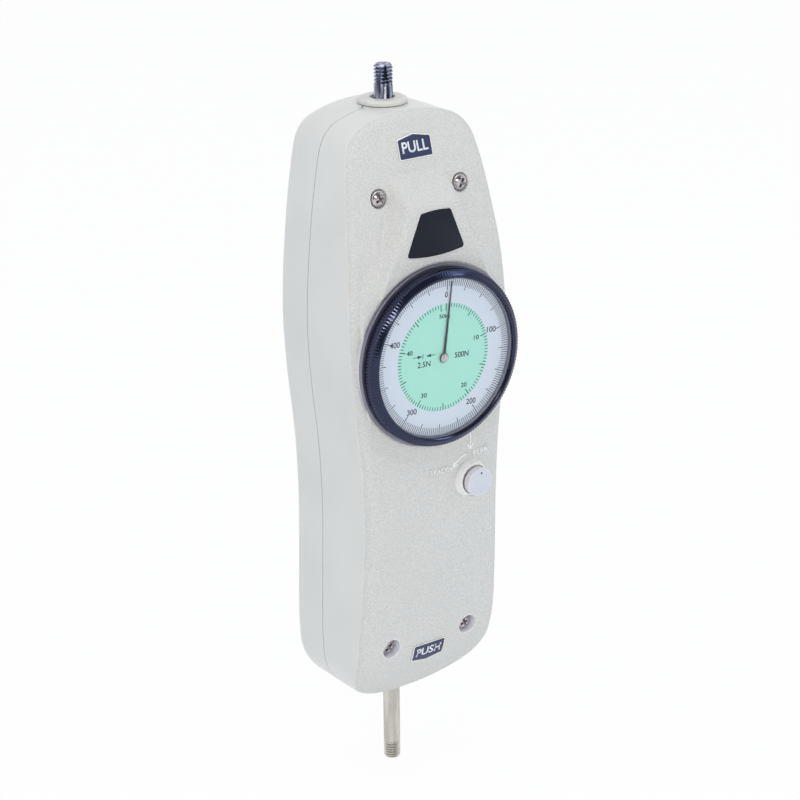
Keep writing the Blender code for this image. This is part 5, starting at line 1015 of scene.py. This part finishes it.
def dial_pieces():
    """Flange, knurled bezel, dial plate, spacer ring and crystal."""
    front, rear = FLANGE_FRONT, FLANGE_REAR
    journal = BEZEL_RADIUS - BEZEL_WALL - GAP
    spigot = DIAL_HOLE_RADIUS - GAP
    flange = rounded([
        (FLANGE_BORE, -DIAL_LOW.y), (journal, -DIAL_LOW.y), (journal, front),
        (FLANGE_RADIUS, front, 0.3 * MM), (FLANGE_RADIUS, rear, 0.3 * MM), (spigot, rear),
        (spigot, -DIAL_HIGH.y), (FLANGE_BORE, -DIAL_HIGH.y)], closed=True)
    dress(lathe("dial_flange", flange, 0, DIAL_HEIGHT, "flange", 360), "case",
          "dial_body")

    rear, front = FLANGE_FRONT + GAP, -BEZEL_LOW.y
    band = front - 1.19 * MM
    pocket_radius = BEZEL_RADIUS - BEZEL_WALL
    pocket = front - 0.45 * MM
    lip = pocket_radius - 1.2 * MM
    bezel = rounded([(lip, pocket), (lip, pocket + 0.12 * MM, 0.06 * MM),
                     (lip + 0.5 * MM, front - 0.03 * MM, 0.2 * MM),
                     (lip + 1.0 * MM, front, 0.3 * MM),
                     (BEZEL_RADIUS - 0.55 * MM, band + 0.22 * MM)])
    bezel += [(BEZEL_RADIUS - 0.32 * MM, band + 0.16 * MM),
              (BEZEL_RADIUS - 0.12 * MM, band - 0.1 * MM), (BEZEL_RADIUS, band - 1.2 * MM),
              (BEZEL_RADIUS, rear + 0.5 * MM), (BEZEL_RADIUS - 0.25 * MM, rear + 0.2 * MM),
              (BEZEL_RADIUS - 0.45 * MM, rear), (pocket_radius, rear), (pocket_radius, pocket)]
    ripple = (BEZEL_TEETH, BEZEL_TOOTH_DEPTH, rear + 0.1 * MM, band + 0.17 * MM)
    dress(lathe("bezel", bezel, 0, DIAL_HEIGHT, "bezel", BEZEL_TEETH * 6, ripple),
          "dial_group", "bezel_ring")

    rear, front = depths(PLATE_LOW, PLATE_HIGH)
    face = [(DIAL_BORE, front), (PLATE_HIGH.x, front), (PLATE_HIGH.x, rear), (DIAL_BORE, rear)]
    dress(lathe("dial_face", face, 0, DIAL_HEIGHT, "dial", 192), "dial_group",
          "dial_plate")

    rear, front = -PLATE_LOW.y + 0.03 * MM, -GLASS_HIGH.y - 0.05 * MM
    spacer = rounded([
        (SPACER_BORE, rear), (SPACER_BORE + 0.1 * MM, rear + 0.25 * MM, 0.1 * MM),
        (SPACER_BORE + 0.4 * MM, front, 0.1 * MM), (PLATE_HIGH.x, front), (PLATE_HIGH.x, rear)],
        closed=True)
    dress(lathe("spacer", spacer, 0, DIAL_HEIGHT, "flange", 256), "dial_group",
          "dial_spacer")

    rear, front = depths(GLASS_LOW, GLASS_HIGH)
    glass = rounded([(0, front), (GLASS_HIGH.x, front, 0.2 * MM), (GLASS_HIGH.x, rear, 0.1 * MM),
                     (0, rear)])
    dress(lathe("glass", glass, 0, DIAL_HEIGHT, "glass", 192), "dial_group",
          "crystal")


def pointer_pieces():
    """A slim dark needle with a round hub, under a small bright cap."""
    rear, front = depths(*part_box("pointer"))
    root, tip = 0.56 * MM, 0.2 * MM
    middle = (rear + front) / 2
    thick = (front - rear) / 2
    heel = HUB_RADIUS * 0.8
    sides, rows = 16, 24
    angles = circle(sides)
    points = []
    for row in range(rows + 1):
        share = row / rows
        width = root + (tip - root) * share
        depth = thick * (1 - 0.35 * share)
        at = heel + (POINTER_LENGTH - heel) * share
        points += [(width * math.cos(a), -middle - depth * math.sin(a), at) for a in angles]
    needle = mesh_object("needle", points, tube_faces(ring_numbers(rows + 1, sides)), "pointer")
    hub = lathe("hub", rounded([
        (HUB_BORE, front), (HUB_RADIUS, front, 0.08 * MM), (HUB_RADIUS, rear, 0.05 * MM),
        (HUB_BORE, rear)], closed=True), 0, 0, "pointer", 64)
    combine(needle, hub, "UNION")
    place(needle, Matrix.Translation((0, 0, DIAL_HEIGHT)) @ Matrix.Rotation(POINTER_ANGLE, 4, "Y"))
    dress(needle, "pointer_group", "pointer")

    rear, front = depths(*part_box("pointer_cap"))
    cap = rounded([
        (0, front - 0.12 * MM), (0.28 * MM, front - 0.1 * MM, 0.1 * MM),
        (0.42 * MM, front, 0.1 * MM), (CAP_RADIUS * 0.72, front, 0.3 * MM),
        (CAP_RADIUS, rear + 0.12 * MM, 0.1 * MM), (CAP_RADIUS, rear), (0, rear)])
    dress(lathe("needle_cap", cap, 0, DIAL_HEIGHT, "cap", 64), "pointer_group",
          "pointer_cap")


def thicken(bm, thickness, depth_at):
    """Makes a flat (x, z) sheet into a solid that stands on a surface."""
    grown = bmesh.ops.extrude_face_region(bm, geom=bm.faces[:])
    raised = {item for item in grown["geom"] if isinstance(item, bmesh.types.BMVert)}
    for vertex in bm.verts:
        lift = thickness if vertex in raised else 0
        vertex.co.y = -float(depth_at(vertex.co.x, vertex.co.z)) - lift
    bmesh.ops.recalc_face_normals(bm, faces=bm.faces)


def text_mesh(name, words, size, at, kind, thickness, depth_at, weight, turn=0.0):
    """Plain lettering as a thin solid on a surface; size is its width and cap height."""
    width, cap_height = size
    curve = bpy.data.curves.new(name, "FONT")
    curve.body = words
    curve.align_x = "CENTER"
    curve.align_y = "CENTER"
    curve.offset = weight
    curve.size = cap_height / FONT_CAP_SHARE
    curve.resolution_u = 6
    carrier = in_scene(name, curve)
    mesh = as_shown(carrier)
    bpy.data.objects.remove(carrier, do_unlink=True)
    flat = np.zeros(len(mesh.vertices) * 3)
    mesh.vertices.foreach_get("co", flat)
    flat = flat.reshape(-1, 3)
    flat -= (flat.min(0) + flat.max(0)) / 2
    span = flat.max(0) - flat.min(0)
    xs = flat[:, 0] * (width / span[0])
    zs = flat[:, 1] * (cap_height / span[1])
    xs, zs = (at[0] + xs * math.cos(turn) + zs * math.sin(turn),
              at[1] - xs * math.sin(turn) + zs * math.cos(turn))
    bm = bmesh.new()
    bm.from_mesh(mesh)
    bpy.data.meshes.remove(mesh)
    for vertex, x, z in zip(bm.verts, xs, zs):
        vertex.co = (x, 0, z)
    bmesh.ops.remove_doubles(bm, verts=bm.verts, dist=0.002 * MM)
    thicken(bm, thickness, depth_at)
    return bmesh_object(name, bm, kind)


def bar(bm, start, end, width):
    """Adds a flat bar between two (x, z) points."""
    start, end = Vector(start), Vector(end)
    along = (end - start).normalized() * width / 2
    side = Vector((-along.y, along.x))
    corners = [start + side, start - side, end - side, end + side]
    bm.faces.new([bm.verts.new((corner.x, 0, corner.y)) for corner in corners])


def around(radius, angle):
    """The (x, z) point at a radius and a clockwise angle on the dial."""
    return (radius * math.sin(angle), DIAL_HEIGHT + radius * math.cos(angle))


def on_dial(x, z):
    """A point of the upright dial in millimetres, turned to where the dial stands."""
    x, z = x * MM, z * MM
    return (x * math.cos(DIAL_TURN) + z * math.sin(DIAL_TURN),
            DIAL_HEIGHT - x * math.sin(DIAL_TURN) + z * math.cos(DIAL_TURN))


def dial_print():
    """Both scales of the dial, their numbers and the plain unit marks."""
    surface = -PLATE_LOW.y + 0.01 * MM
    bm = bmesh.new()

    def tick(share, inner, outer, width):
        angle = DIAL_TURN + 2 * math.pi * share
        bar(bm, around(inner, angle), around(outer, angle), width)

    for i in range(200):
        inner, width = 24.6 * MM, 0.2 * MM
        if i % 10 == 0:
            inner, width = 23.4 * MM, 0.25 * MM
        if i % 40 == 0:
            inner, width = 23.0 * MM, 0.28 * MM
        tick(i / 200, inner, SCALE_RADIUS, width)
    for i in range(101):
        inner, width = (16.2 * MM, 0.3 * MM) if i % 10 == 0 else (17.35 * MM, 0.24 * MM)
        tick(i / 2 * STANDARD_GRAVITY / FULL_SCALE, inner, GREEN_RADIUS - 0.1 * MM, width)

    # The mark for one division: two arrows that meet a line
    line, level = 0.22 * MM, 1.45
    for start, tip, way in ((-12.5, -8.7, 1), (-3.4, -7.2, -1)):
        heel = tip - way * 2.0
        bar(bm, on_dial(start, level), on_dial(heel, level), line)
        head = [on_dial(tip, level), on_dial(heel, level + 0.62), on_dial(heel, level - 0.62)]
        bm.faces.new([bm.verts.new((x, 0, z)) for x, z in head])
    bar(bm, on_dial(-8.55, 2.35), on_dial(-8.55, 0.55), line)
    thicken(bm, INK_THICKNESS, lambda x, z: surface)
    pieces = [bmesh_object("dial_print", bm, "ink")]

    # Each word with its cap height, its place and its width over its cap height
    words = (("0", 2.0, -0.2, 21.75, 0.62), ("100", 2.0, 19.75, 7.15, 1.9),
             ("200", 2.0, 12.85, -17.2, 2.0), ("300", 2.0, -11.9, -17.4, 2.0),
             ("400", 2.0, -20.3, 6.95, 2.0), ("50kg", 1.75, -0.35, 14.2, 2.6),
             ("10", 1.6, 13.5, 5.15, 1.35), ("20", 1.6, 9.35, -10.95, 1.5),
             ("30", 1.6, -7.25, -12.25, 1.5), ("40", 1.6, -14.1, 3.3, 1.5),
             ("500N", 1.95, 7.7, 0.1, 2.95), ("2.5N", 2.0, -7.9, -1.35, 2.65))
    for i, (text, height, x, z, wide) in enumerate(words):
        pieces.append(text_mesh(f"word_{i}", text, (height * MM * wide, height * MM), on_dial(x, z),
                                "ink", INK_THICKNESS, lambda x, z: surface, INK_WEIGHT, DIAL_TURN))
    dress(joined("dial_print", pieces, "ink"), "dial_group")


def knob_pieces():
    """The ribbed knob cap and the small dark dot that shows how it is turned."""
    rear, front = depths(KNOB_LOW, KNOB_HIGH)
    rim = KNOB_RADIUS - 0.9 * MM
    inner = front - 0.9 * MM
    dot_floor = front - 0.3 * MM
    profile = rounded([(0, front), (KNOB_RADIUS - 0.75 * MM, front - 0.06 * MM, 0.5 * MM),
                       (KNOB_RADIUS - 0.12 * MM, front - 0.35 * MM, 0.25 * MM),
                       (KNOB_RADIUS - 0.1 * MM, front - 0.55 * MM)])
    profile += [(KNOB_RADIUS, front - 0.8 * MM), (KNOB_RADIUS, rear + 0.25 * MM),
                (KNOB_RADIUS - 0.1 * MM, rear), (rim, rear), (rim, inner), (0, inner)]
    cap = lathe("knob", profile, 0, 0, "knob", KNOB_RIBS * 9,
                (KNOB_RIBS, KNOB_RIB_DEPTH, rear - 0.01 * MM, front - 0.7 * MM))
    dot = lathe("dot_tool", [(0, front + 1 * MM), (0.42 * MM, front + 1 * MM),
                             (KNOB_DOT_RADIUS, dot_floor), (0, dot_floor)],
                KNOB_DOT_X, KNOB_DOT_RISE, "knob", 32)
    combine(cap, dot, "DIFFERENCE")
    place(cap, Matrix.Translation((KNOB_X, 0, KNOB_HEIGHT)))
    dress(cap, "knob", "knob_cap")
    mark = rounded([(0, front - 0.12 * MM), (0.36 * MM, front - 0.16 * MM, 0.05 * MM),
                    (0.36 * MM, dot_floor), (0, dot_floor)])
    dress(lathe("knob_mark", mark, KNOB_X + KNOB_DOT_X, KNOB_HEIGHT + KNOB_DOT_RISE, "ink", 24),
          "knob")


def threaded_rod(name, low, high, radius, start, end, thread, kind):
    """An upright rod whose helical thread runs from a start to the end at its tip."""
    major, deep, pitch = thread
    steps = 96
    fine = np.arange(min(start, end), max(start, end), pitch / 16)
    plain = [low, high, start, end, end - 0.7 * MM, end + 0.7 * MM]
    heights = np.unique(np.concatenate([fine, plain]).clip(low, high))
    angles = circle(steps)
    points = []
    way = 1 if end > start else -1
    for height in heights:
        into = (height - start) * way
        phase = (height / pitch - angles / (2 * math.pi)) % 1.0
        wave = np.clip(np.abs(phase - 0.5) * 2.7 - 0.35, 0, 1)
        radii = np.full(steps, major if into >= 0 else radius)
        radii = radii - deep * wave * np.clip(into / (0.8 * pitch), 0, 1)
        radii = np.minimum(radii, major - ROD_CHAMFER + abs(end - height))
        points.append(np.stack([radii * np.cos(angles), radii * np.sin(angles),
                                np.full(steps, height)], 1))
    return mesh_object(name, np.concatenate(points), tube_faces(ring_numbers(len(heights), steps)),
                       kind, math.radians(38))


def rods():
    """The bright pull shaft and the satin push rod with their threads."""
    pull = threaded_rod("pull_rod", PULL_LOW.z, PULL_HIGH.z, SHAFT_RADIUS,
                        PULL_HIGH.z - PULL_THREAD_LENGTH, PULL_HIGH.z, PULL_THREAD, "chrome")
    dress(pull, "measuring_shaft", "pull_shaft")
    push = threaded_rod("push_stem", PUSH_LOW.z, PUSH_HIGH.z, PUSH_HIGH.x,
                        PUSH_LOW.z + PUSH_THREAD_LENGTH, PUSH_LOW.z, PUSH_THREAD, "satin")
    dress(push, "measuring_shaft", "push_rod")


def coil_spring(name, node, axis, radius, wire, turns):
    """A helical spring that stands for a CAD one."""
    low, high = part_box(node)
    span = high[axis] - low[axis]
    count, sides = turns * 48, 12
    points = []
    for step in range(count + 1):
        share = step / count
        angle = 2 * math.pi * turns * share
        out = Vector((math.cos(angle), math.sin(angle), 0))
        centre = out * radius + Vector((0, 0, (share - 0.5) * (span - 2 * wire)))
        for k in range(sides):
            turn = 2 * math.pi * k / sides
            points.append(centre + (out * math.cos(turn) + Vector((0, 0, math.sin(turn)))) * wire)
    made = mesh_object(name, points, tube_faces(ring_numbers(count + 1, sides)), "spring")
    if axis == 1:
        place(made, Matrix.Rotation(math.pi / 2, 4, "X"))
    place(made, Matrix.Translation((low + high) / 2))
    dress(made, "case", node)
    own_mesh(made)


def guides():
    """The flanged guide on the crown and the sleeve in the chin."""
    low, high = TOP_BUSH_LOW.z, TOP_BUSH_HIGH.z - GUIDE_DROP
    flange = TOP_BUSH_HIGH.x
    seat = high - GUIDE_FLANGE_HEIGHT
    top = turned("pull_guide", rounded([
        (GUIDE_MOUTH, high, 0.25 * MM), (flange - 1.4 * MM, high, 0.5 * MM),
        (flange, high - 0.7 * MM, 0.3 * MM), (flange, seat, 0.15 * MM), (BUSH_SLEEVE_RADIUS, seat),
        (BUSH_SLEEVE_RADIUS, low), (GUIDE_MOUTH, low)], closed=True), "bush")
    place(top, Matrix.Translation((0, GUIDE_BACK, 0)))
    dress(top, "case", "top_bushing")
    low, high = BOTTOM_BUSH_LOW.z, BOTTOM_BUSH_HIGH.z
    bore = PUSH_HIGH.x + GAP
    sleeve = turned("push_guide", rounded([
        (bore, high), (BOTTOM_BUSH_HIGH.x, high), (BOTTOM_BUSH_HIGH.x, low, 0.2 * MM),
        (bore, low, 0.2 * MM)], closed=True), "bush", 96)
    dress(sleeve, "case", "bottom_bushing")


def cross_recess():
    """A tool shaped like the cross of a screw driver's tip, pointing down -Z from 0."""
    long, short, deep = 1.9 * MM, 0.5 * MM, 1.5 * MM
    arms = []
    for turn in (0, math.pi / 2):
        points = []
        for height, share in ((0.5 * MM, 1.15), (0.0, 1.0), (-deep, 0.28)):
            a, b = long * share, short * (0.7 + 0.3 * share)
            points += [(a, b, height), (-a, b, height), (-a, -b, height), (a, -b, height)]
        arm = mesh_object("arm", points, tube_faces(ring_numbers(3, 4)), "screw")
        arms.append(place(arm, Matrix.Rotation(turn, 4, "Z")))
    return combine(arms[0], arms[1], "UNION")


def case_screws():
    """Pan heads with a cross recess, on plain shanks."""
    head, top = SCREW_HEAD_RADIUS, SCREW_HEAD_HEIGHT
    for i, (x, height) in enumerate(SCREW_PLACES):
        seat = screw_head_depth(i) - top
        length = seat + SCREW_TIP_DEPTH
        screw = turned("screw", rounded([
            (0, top), (head * 0.55, top - 0.12 * MM, 1.2 * MM), (head * 0.93, top * 0.55, 0.8 * MM),
            (head, 0.25 * MM, 0.2 * MM), (head - 0.1 * MM, 0), (SCREW_SHANK_RADIUS, 0),
            (SCREW_SHANK_RADIUS, -length + 1.2 * MM), (0.4 * MM, -length), (0, -length)]),
            "screw", 64)
        recess = place(cross_recess(), Matrix.Translation((0, 0, top + 0.02 * MM)))
        combine(screw, recess, "DIFFERENCE")
        place(screw, Matrix.Rotation(SCREW_TURNS[i], 4, "Z"))
        place(screw, Matrix.Translation((0, 0, seat)))
        screw.name = f"screw_{i + 1}"
        facing_front(screw, x, height)
        dress(screw, "case", f"case_screw_{i + 1}")


def on_face(lift):
    """The plain face's depth at a place, raised by a lift."""
    return lambda x, z: float(face_depth(z)) + lift


def face_label(name, node, pointed_up, aside, words, size, lift):
    """A thin plate on the curved face with a light edge and raised light letters."""
    low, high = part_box(node)
    bottom = low.z if pointed_up else low.z + PLATE_POINT

    def outline(margin):
        wide = PLATE_HALF_WIDTH + margin
        top = bottom + PLATE_LENGTH + margin
        under = bottom - margin
        if pointed_up:
            corners = [(wide, under), (wide, top), (0, top + PLATE_POINT), (-wide, top),
                       (-wide, under)]
        else:
            corners = [(wide, top), (-wide, top), (-wide, under), (0, under - PLATE_POINT),
                       (wide, under)]
        return rounded([(x + aside, z, 0 if x == 0 else PLATE_CORNER_RADIUS + margin)
                        for x, z in corners], closed=True)

    pieces = []
    for part, margin, thickness, kind in (("border", PLATE_BORDER, 0.22 * MM, "edge"),
                                          ("plate", 0, 0.28 * MM, "plate")):
        bm = bmesh.new()
        bm.faces.new([bm.verts.new((x, 0, z)) for x, z in outline(margin)])
        for step in range(1, 12):
            height = low.z + (high.z - low.z) * step / 12
            bmesh.ops.bisect_plane(bm, geom=bm.verts[:] + bm.edges[:] + bm.faces[:],
                                   plane_co=(0, 0, height), plane_no=(0, 0, 1))
        thicken(bm, thickness, on_face(FINE_GAP))
        pieces.append(bmesh_object(f"{name}_{part}", bm, kind))
    border, plate = pieces
    lettering = text_mesh(f"{name}_letters", words, size,
                          (aside, bottom + PLATE_LENGTH / 2 + lift), "letter", 0.05 * MM,
                          on_face(FINE_GAP + 0.26 * MM), 0.1 * MM)
    dress(border, "case")
    dress(plate, "case", node)
    dress(lettering, "case")


def badge_piece():
    """The badge, left bare, with the light edge of its pocket round it."""
    border = slab("badge_border", badge_outline(BADGE_BORDER - 0.03 * MM),
                  NOSE_DEPTH - BADGE_POCKET_DEPTH + 0.02 * MM, NOSE_DEPTH, "edge")
    combine(border, slab("border_hole", badge_outline(0.03 * MM), NOSE_DEPTH - OVERRUN,
                         NOSE_DEPTH + OVERRUN, "edge"), "DIFFERENCE")
    dress(border, "case")
    made = slab("nose_badge", badge_outline(0), -BADGE_HIGH.y, -BADGE_LOW.y, "badge", 0.12 * MM)
    dress(made, "case", "badge")


def embossed_marks():
    """The raised words and arrows round the knob that name its two settings."""
    surface = on_face(-0.02 * MM)
    bm = bmesh.new()
    for start, end in (((14.95, 131.8), (14.95, 126.0)), ((13.75, 127.9), (14.9, 125.9)),
                       ((16.15, 127.9), (15.0, 125.9))):
        bar(bm, Vector(start) * MM, Vector(end) * MM, MARK_WIDTH)
    centre = Vector((KNOB_X, KNOB_HEIGHT))
    first, sweep, steps = math.radians(-12), math.radians(-42), 12
    arc = []
    for step in range(steps + 1):
        angle = first + sweep * step / steps
        arc.append(centre + Vector((math.sin(angle), math.cos(angle))) * MARK_ARC)
    for start, end in zip(arc, arc[1:]):
        bar(bm, start, end, MARK_WIDTH)
    way = Vector((math.cos(first + sweep), -math.sin(first + sweep)))
    for turn in (-0.75, 0.35):
        bar(bm, arc[-1], arc[-1] + Matrix.Rotation(turn, 2) @ way * 1.9 * MM, MARK_WIDTH)
    bar(bm, (5.9 * MM, 120.8 * MM), (7.0 * MM, 120.9 * MM), MARK_WIDTH)
    bmesh.ops.remove_doubles(bm, verts=bm.verts, dist=0.001 * MM)
    thicken(bm, MARK_RISE, surface)
    dress(bmesh_object("knob_marks", bm, "word"), "case")
    for name, words, width, x, height, turn in (
            ("peak_word", "PEAK", 6.3, 19.4, 124.4, math.radians(-6)),
            ("track_word", "TRACK", 8.2, 1.7, 120.9, 0.0)):
        dress(text_mesh(name, words, (width * MM, 2.1 * MM), (x * MM, height * MM), "word",
                        MARK_RISE, surface, WORD_WEIGHT, turn), "case")


def mount_inserts():
    """Brass inserts in the back, threaded inside."""
    for i, low, high, x, height in insert_boxes():
        rear, front = depths(low, high)
        radius = (high.x - low.x) / 2
        profile = [(radius - 0.2 * MM, rear + 0.01 * MM), (radius, rear + 0.25 * MM),
                   (radius, front), (INSERT_BORE, front)]
        for k in range(INSERT_THREAD_TURNS):
            at = front - (front - rear) * (k + 0.5) / INSERT_THREAD_TURNS
            profile += [(INSERT_BORE - 0.22 * MM, at), (INSERT_BORE, at - 0.35 * MM)]
        profile += [(INSERT_BORE + 0.3 * MM, rear + 0.01 * MM)]
        dress(lathe(f"insert_{i}", profile, x, height, "brass", 64), "case",
              f"mount_insert_{i}")


def dress_nodes():
    """Gives every CAD node that is still shown a finish of its own kind."""
    kinds = {
        "steel": ("chassis_plate", "guide_rail", "spring_collar", "stop_collar", "rack",
                  "rack_pinion", "ratchet_wheel", "transfer_arbor", "pointer_arbor",
                  "peak_lever", "lever_pin", "knob_shaft", "knob_cam", "movement_frame"),
        "screw": ("chassis_screw_1", "chassis_screw_2", "chassis_screw_3", "chassis_screw_4",
                  "lower_block_screw", "upper_block_screw"),
        "aluminium": ("lower_guide_block", "upper_guide_block", "carriage_block"),
        "spring": ("hairspring",),
        "brass": ("transfer_gear", "pointer_pinion", "transfer_bush_rear",
                  "transfer_bush_front", "pointer_bush_rear", "pointer_bush_front"),
    }
    for kind, names in kinds.items():
        for name in names:
            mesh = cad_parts[name].data
            mesh.materials.clear()
            mesh.materials.append(FINISHES[kind])


def backdrop():
    """Even light from all round; what is seen or mirrored directly is white, dimmer in front."""
    world = bpy.data.worlds.new("studio")
    bpy.context.scene.world = world
    world.use_nodes = True
    made = Nodes(world.node_tree)
    light = made.node("Background", {"Color": (0.85, 0.925, 1.0, 1), "Strength": 0.77})[0]
    white = made.node("Background", {"Color": (1, 1, 1, 1)})[0]
    room = made.node("Background", {"Color": (0.9, 0.94, 1.0, 1), "Strength": 0.2})[0]
    path = made.node("LightPath", {})
    seen = made.math("MAXIMUM", path["Is Camera Ray"], path["Is Glossy Ray"])
    seen = made.math("MAXIMUM", seen, path["Is Transmission Ray"])
    direction = made.axes(made.node("TexCoord", {})["Generated"])
    before = made.ramp(direction["Y"], -0.3, -0.7)
    dimmed = made.blend(made.math("MULTIPLY", before, path["Is Glossy Ray"]),
                        made.blend(seen, light, white), room)
    made.link(dimmed, made.tree.nodes["World Output"].inputs["Surface"])


def floor():
    """A pale floor that looks nearly white and keeps the gauge's shadow."""
    bpy.ops.mesh.primitive_plane_add(size=6.0, location=(0, 0, -0.3 * MM))
    ground = bpy.context.object
    ground.name = "studio_floor"
    made = Finish("studio_white", (255, 255, 255), 0.9)
    path = made.node("LightPath", {})
    seen = made.math("MAXIMUM", path["Is Camera Ray"], path["Is Transmission Ray"])
    seen = made.math("MAXIMUM", seen, path["Is Glossy Ray"])
    glow = made.node("Emission", {"Strength": 1.0})[0]
    made.surface(made.blend(made.math("MULTIPLY", seen, 0.94), made.shader.outputs[0], glow))
    ground.data.materials.append(made.material)


def lamp(name, location, width, height, power, colour):
    """A soft lamp that looks at the gauge's middle."""
    light = bpy.data.lights.new(name, "AREA")
    light.shape = "RECTANGLE"
    light.size = width
    light.size_y = height
    light.energy = power
    light.color = colour
    made = in_scene(name, light)
    made.location = location
    aim = Vector((0, 0, DIAL_HEIGHT)) - made.location
    made.rotation_euler = aim.to_track_quat("-Z", "Y").to_euler()


def photo_camera():
    """The photograph's camera."""
    camera = bpy.data.cameras.new("camera")
    camera.lens = CAMERA_LENS
    camera.sensor_width = CAMERA_SENSOR
    camera.clip_start = 0.01
    view = in_scene("camera", camera)
    forward = Vector((math.sin(CAMERA_YAW) * math.cos(CAMERA_PITCH),
                      math.cos(CAMERA_YAW) * math.cos(CAMERA_PITCH), -math.sin(CAMERA_PITCH)))
    right = Vector((math.cos(CAMERA_YAW), -math.sin(CAMERA_YAW), 0))
    up = right.cross(forward)
    across = right * math.cos(CAMERA_ROLL) + up * math.sin(CAMERA_ROLL)
    upward = up * math.cos(CAMERA_ROLL) - right * math.sin(CAMERA_ROLL)
    turn = Matrix((across, upward, -forward)).transposed()
    view.matrix_world = Matrix.Translation(CAMERA_PLACE) @ turn.to_4x4()
    bpy.context.scene.camera = view


backdrop()
floor()
lamp("key_light", (0.86, -0.89, 0.80), 0.42, 0.1, 0.95, (0.72, 0.82, 1.0))
lamp("top_light", (-0.25, -0.1, 1.15), 0.7, 0.7, 2.05, (1.0, 0.86, 0.76))
lamp("front_light", (-0.40, -1.17, 0.65), 0.3, 0.14, 2.75, (1.0, 0.87, 0.71))
photo_camera()
bpy.context.scene.view_settings.view_transform = "Standard"

front_shell()
rear_shell()
dial_pieces()
pointer_pieces()
dial_print()
knob_pieces()
rods()
coil_spring("return_spring", "main_spring", 2, 6.3 * MM, 1.3 * MM, 6)
coil_spring("knob_coil", "knob_spring", 1, 2.5 * MM, 0.22 * MM, 3)
guides()
case_screws()
face_label("pull", "pull_plate", True, 0.4 * MM, "PULL", (10.5 * MM, 3.6 * MM), 0.5 * MM)
face_label("push", "push_plate", False, 0.0, "PUSH", (10.6 * MM, 3.35 * MM), 0.0)
badge_piece()
embossed_marks()
mount_inserts()
dress_nodes()
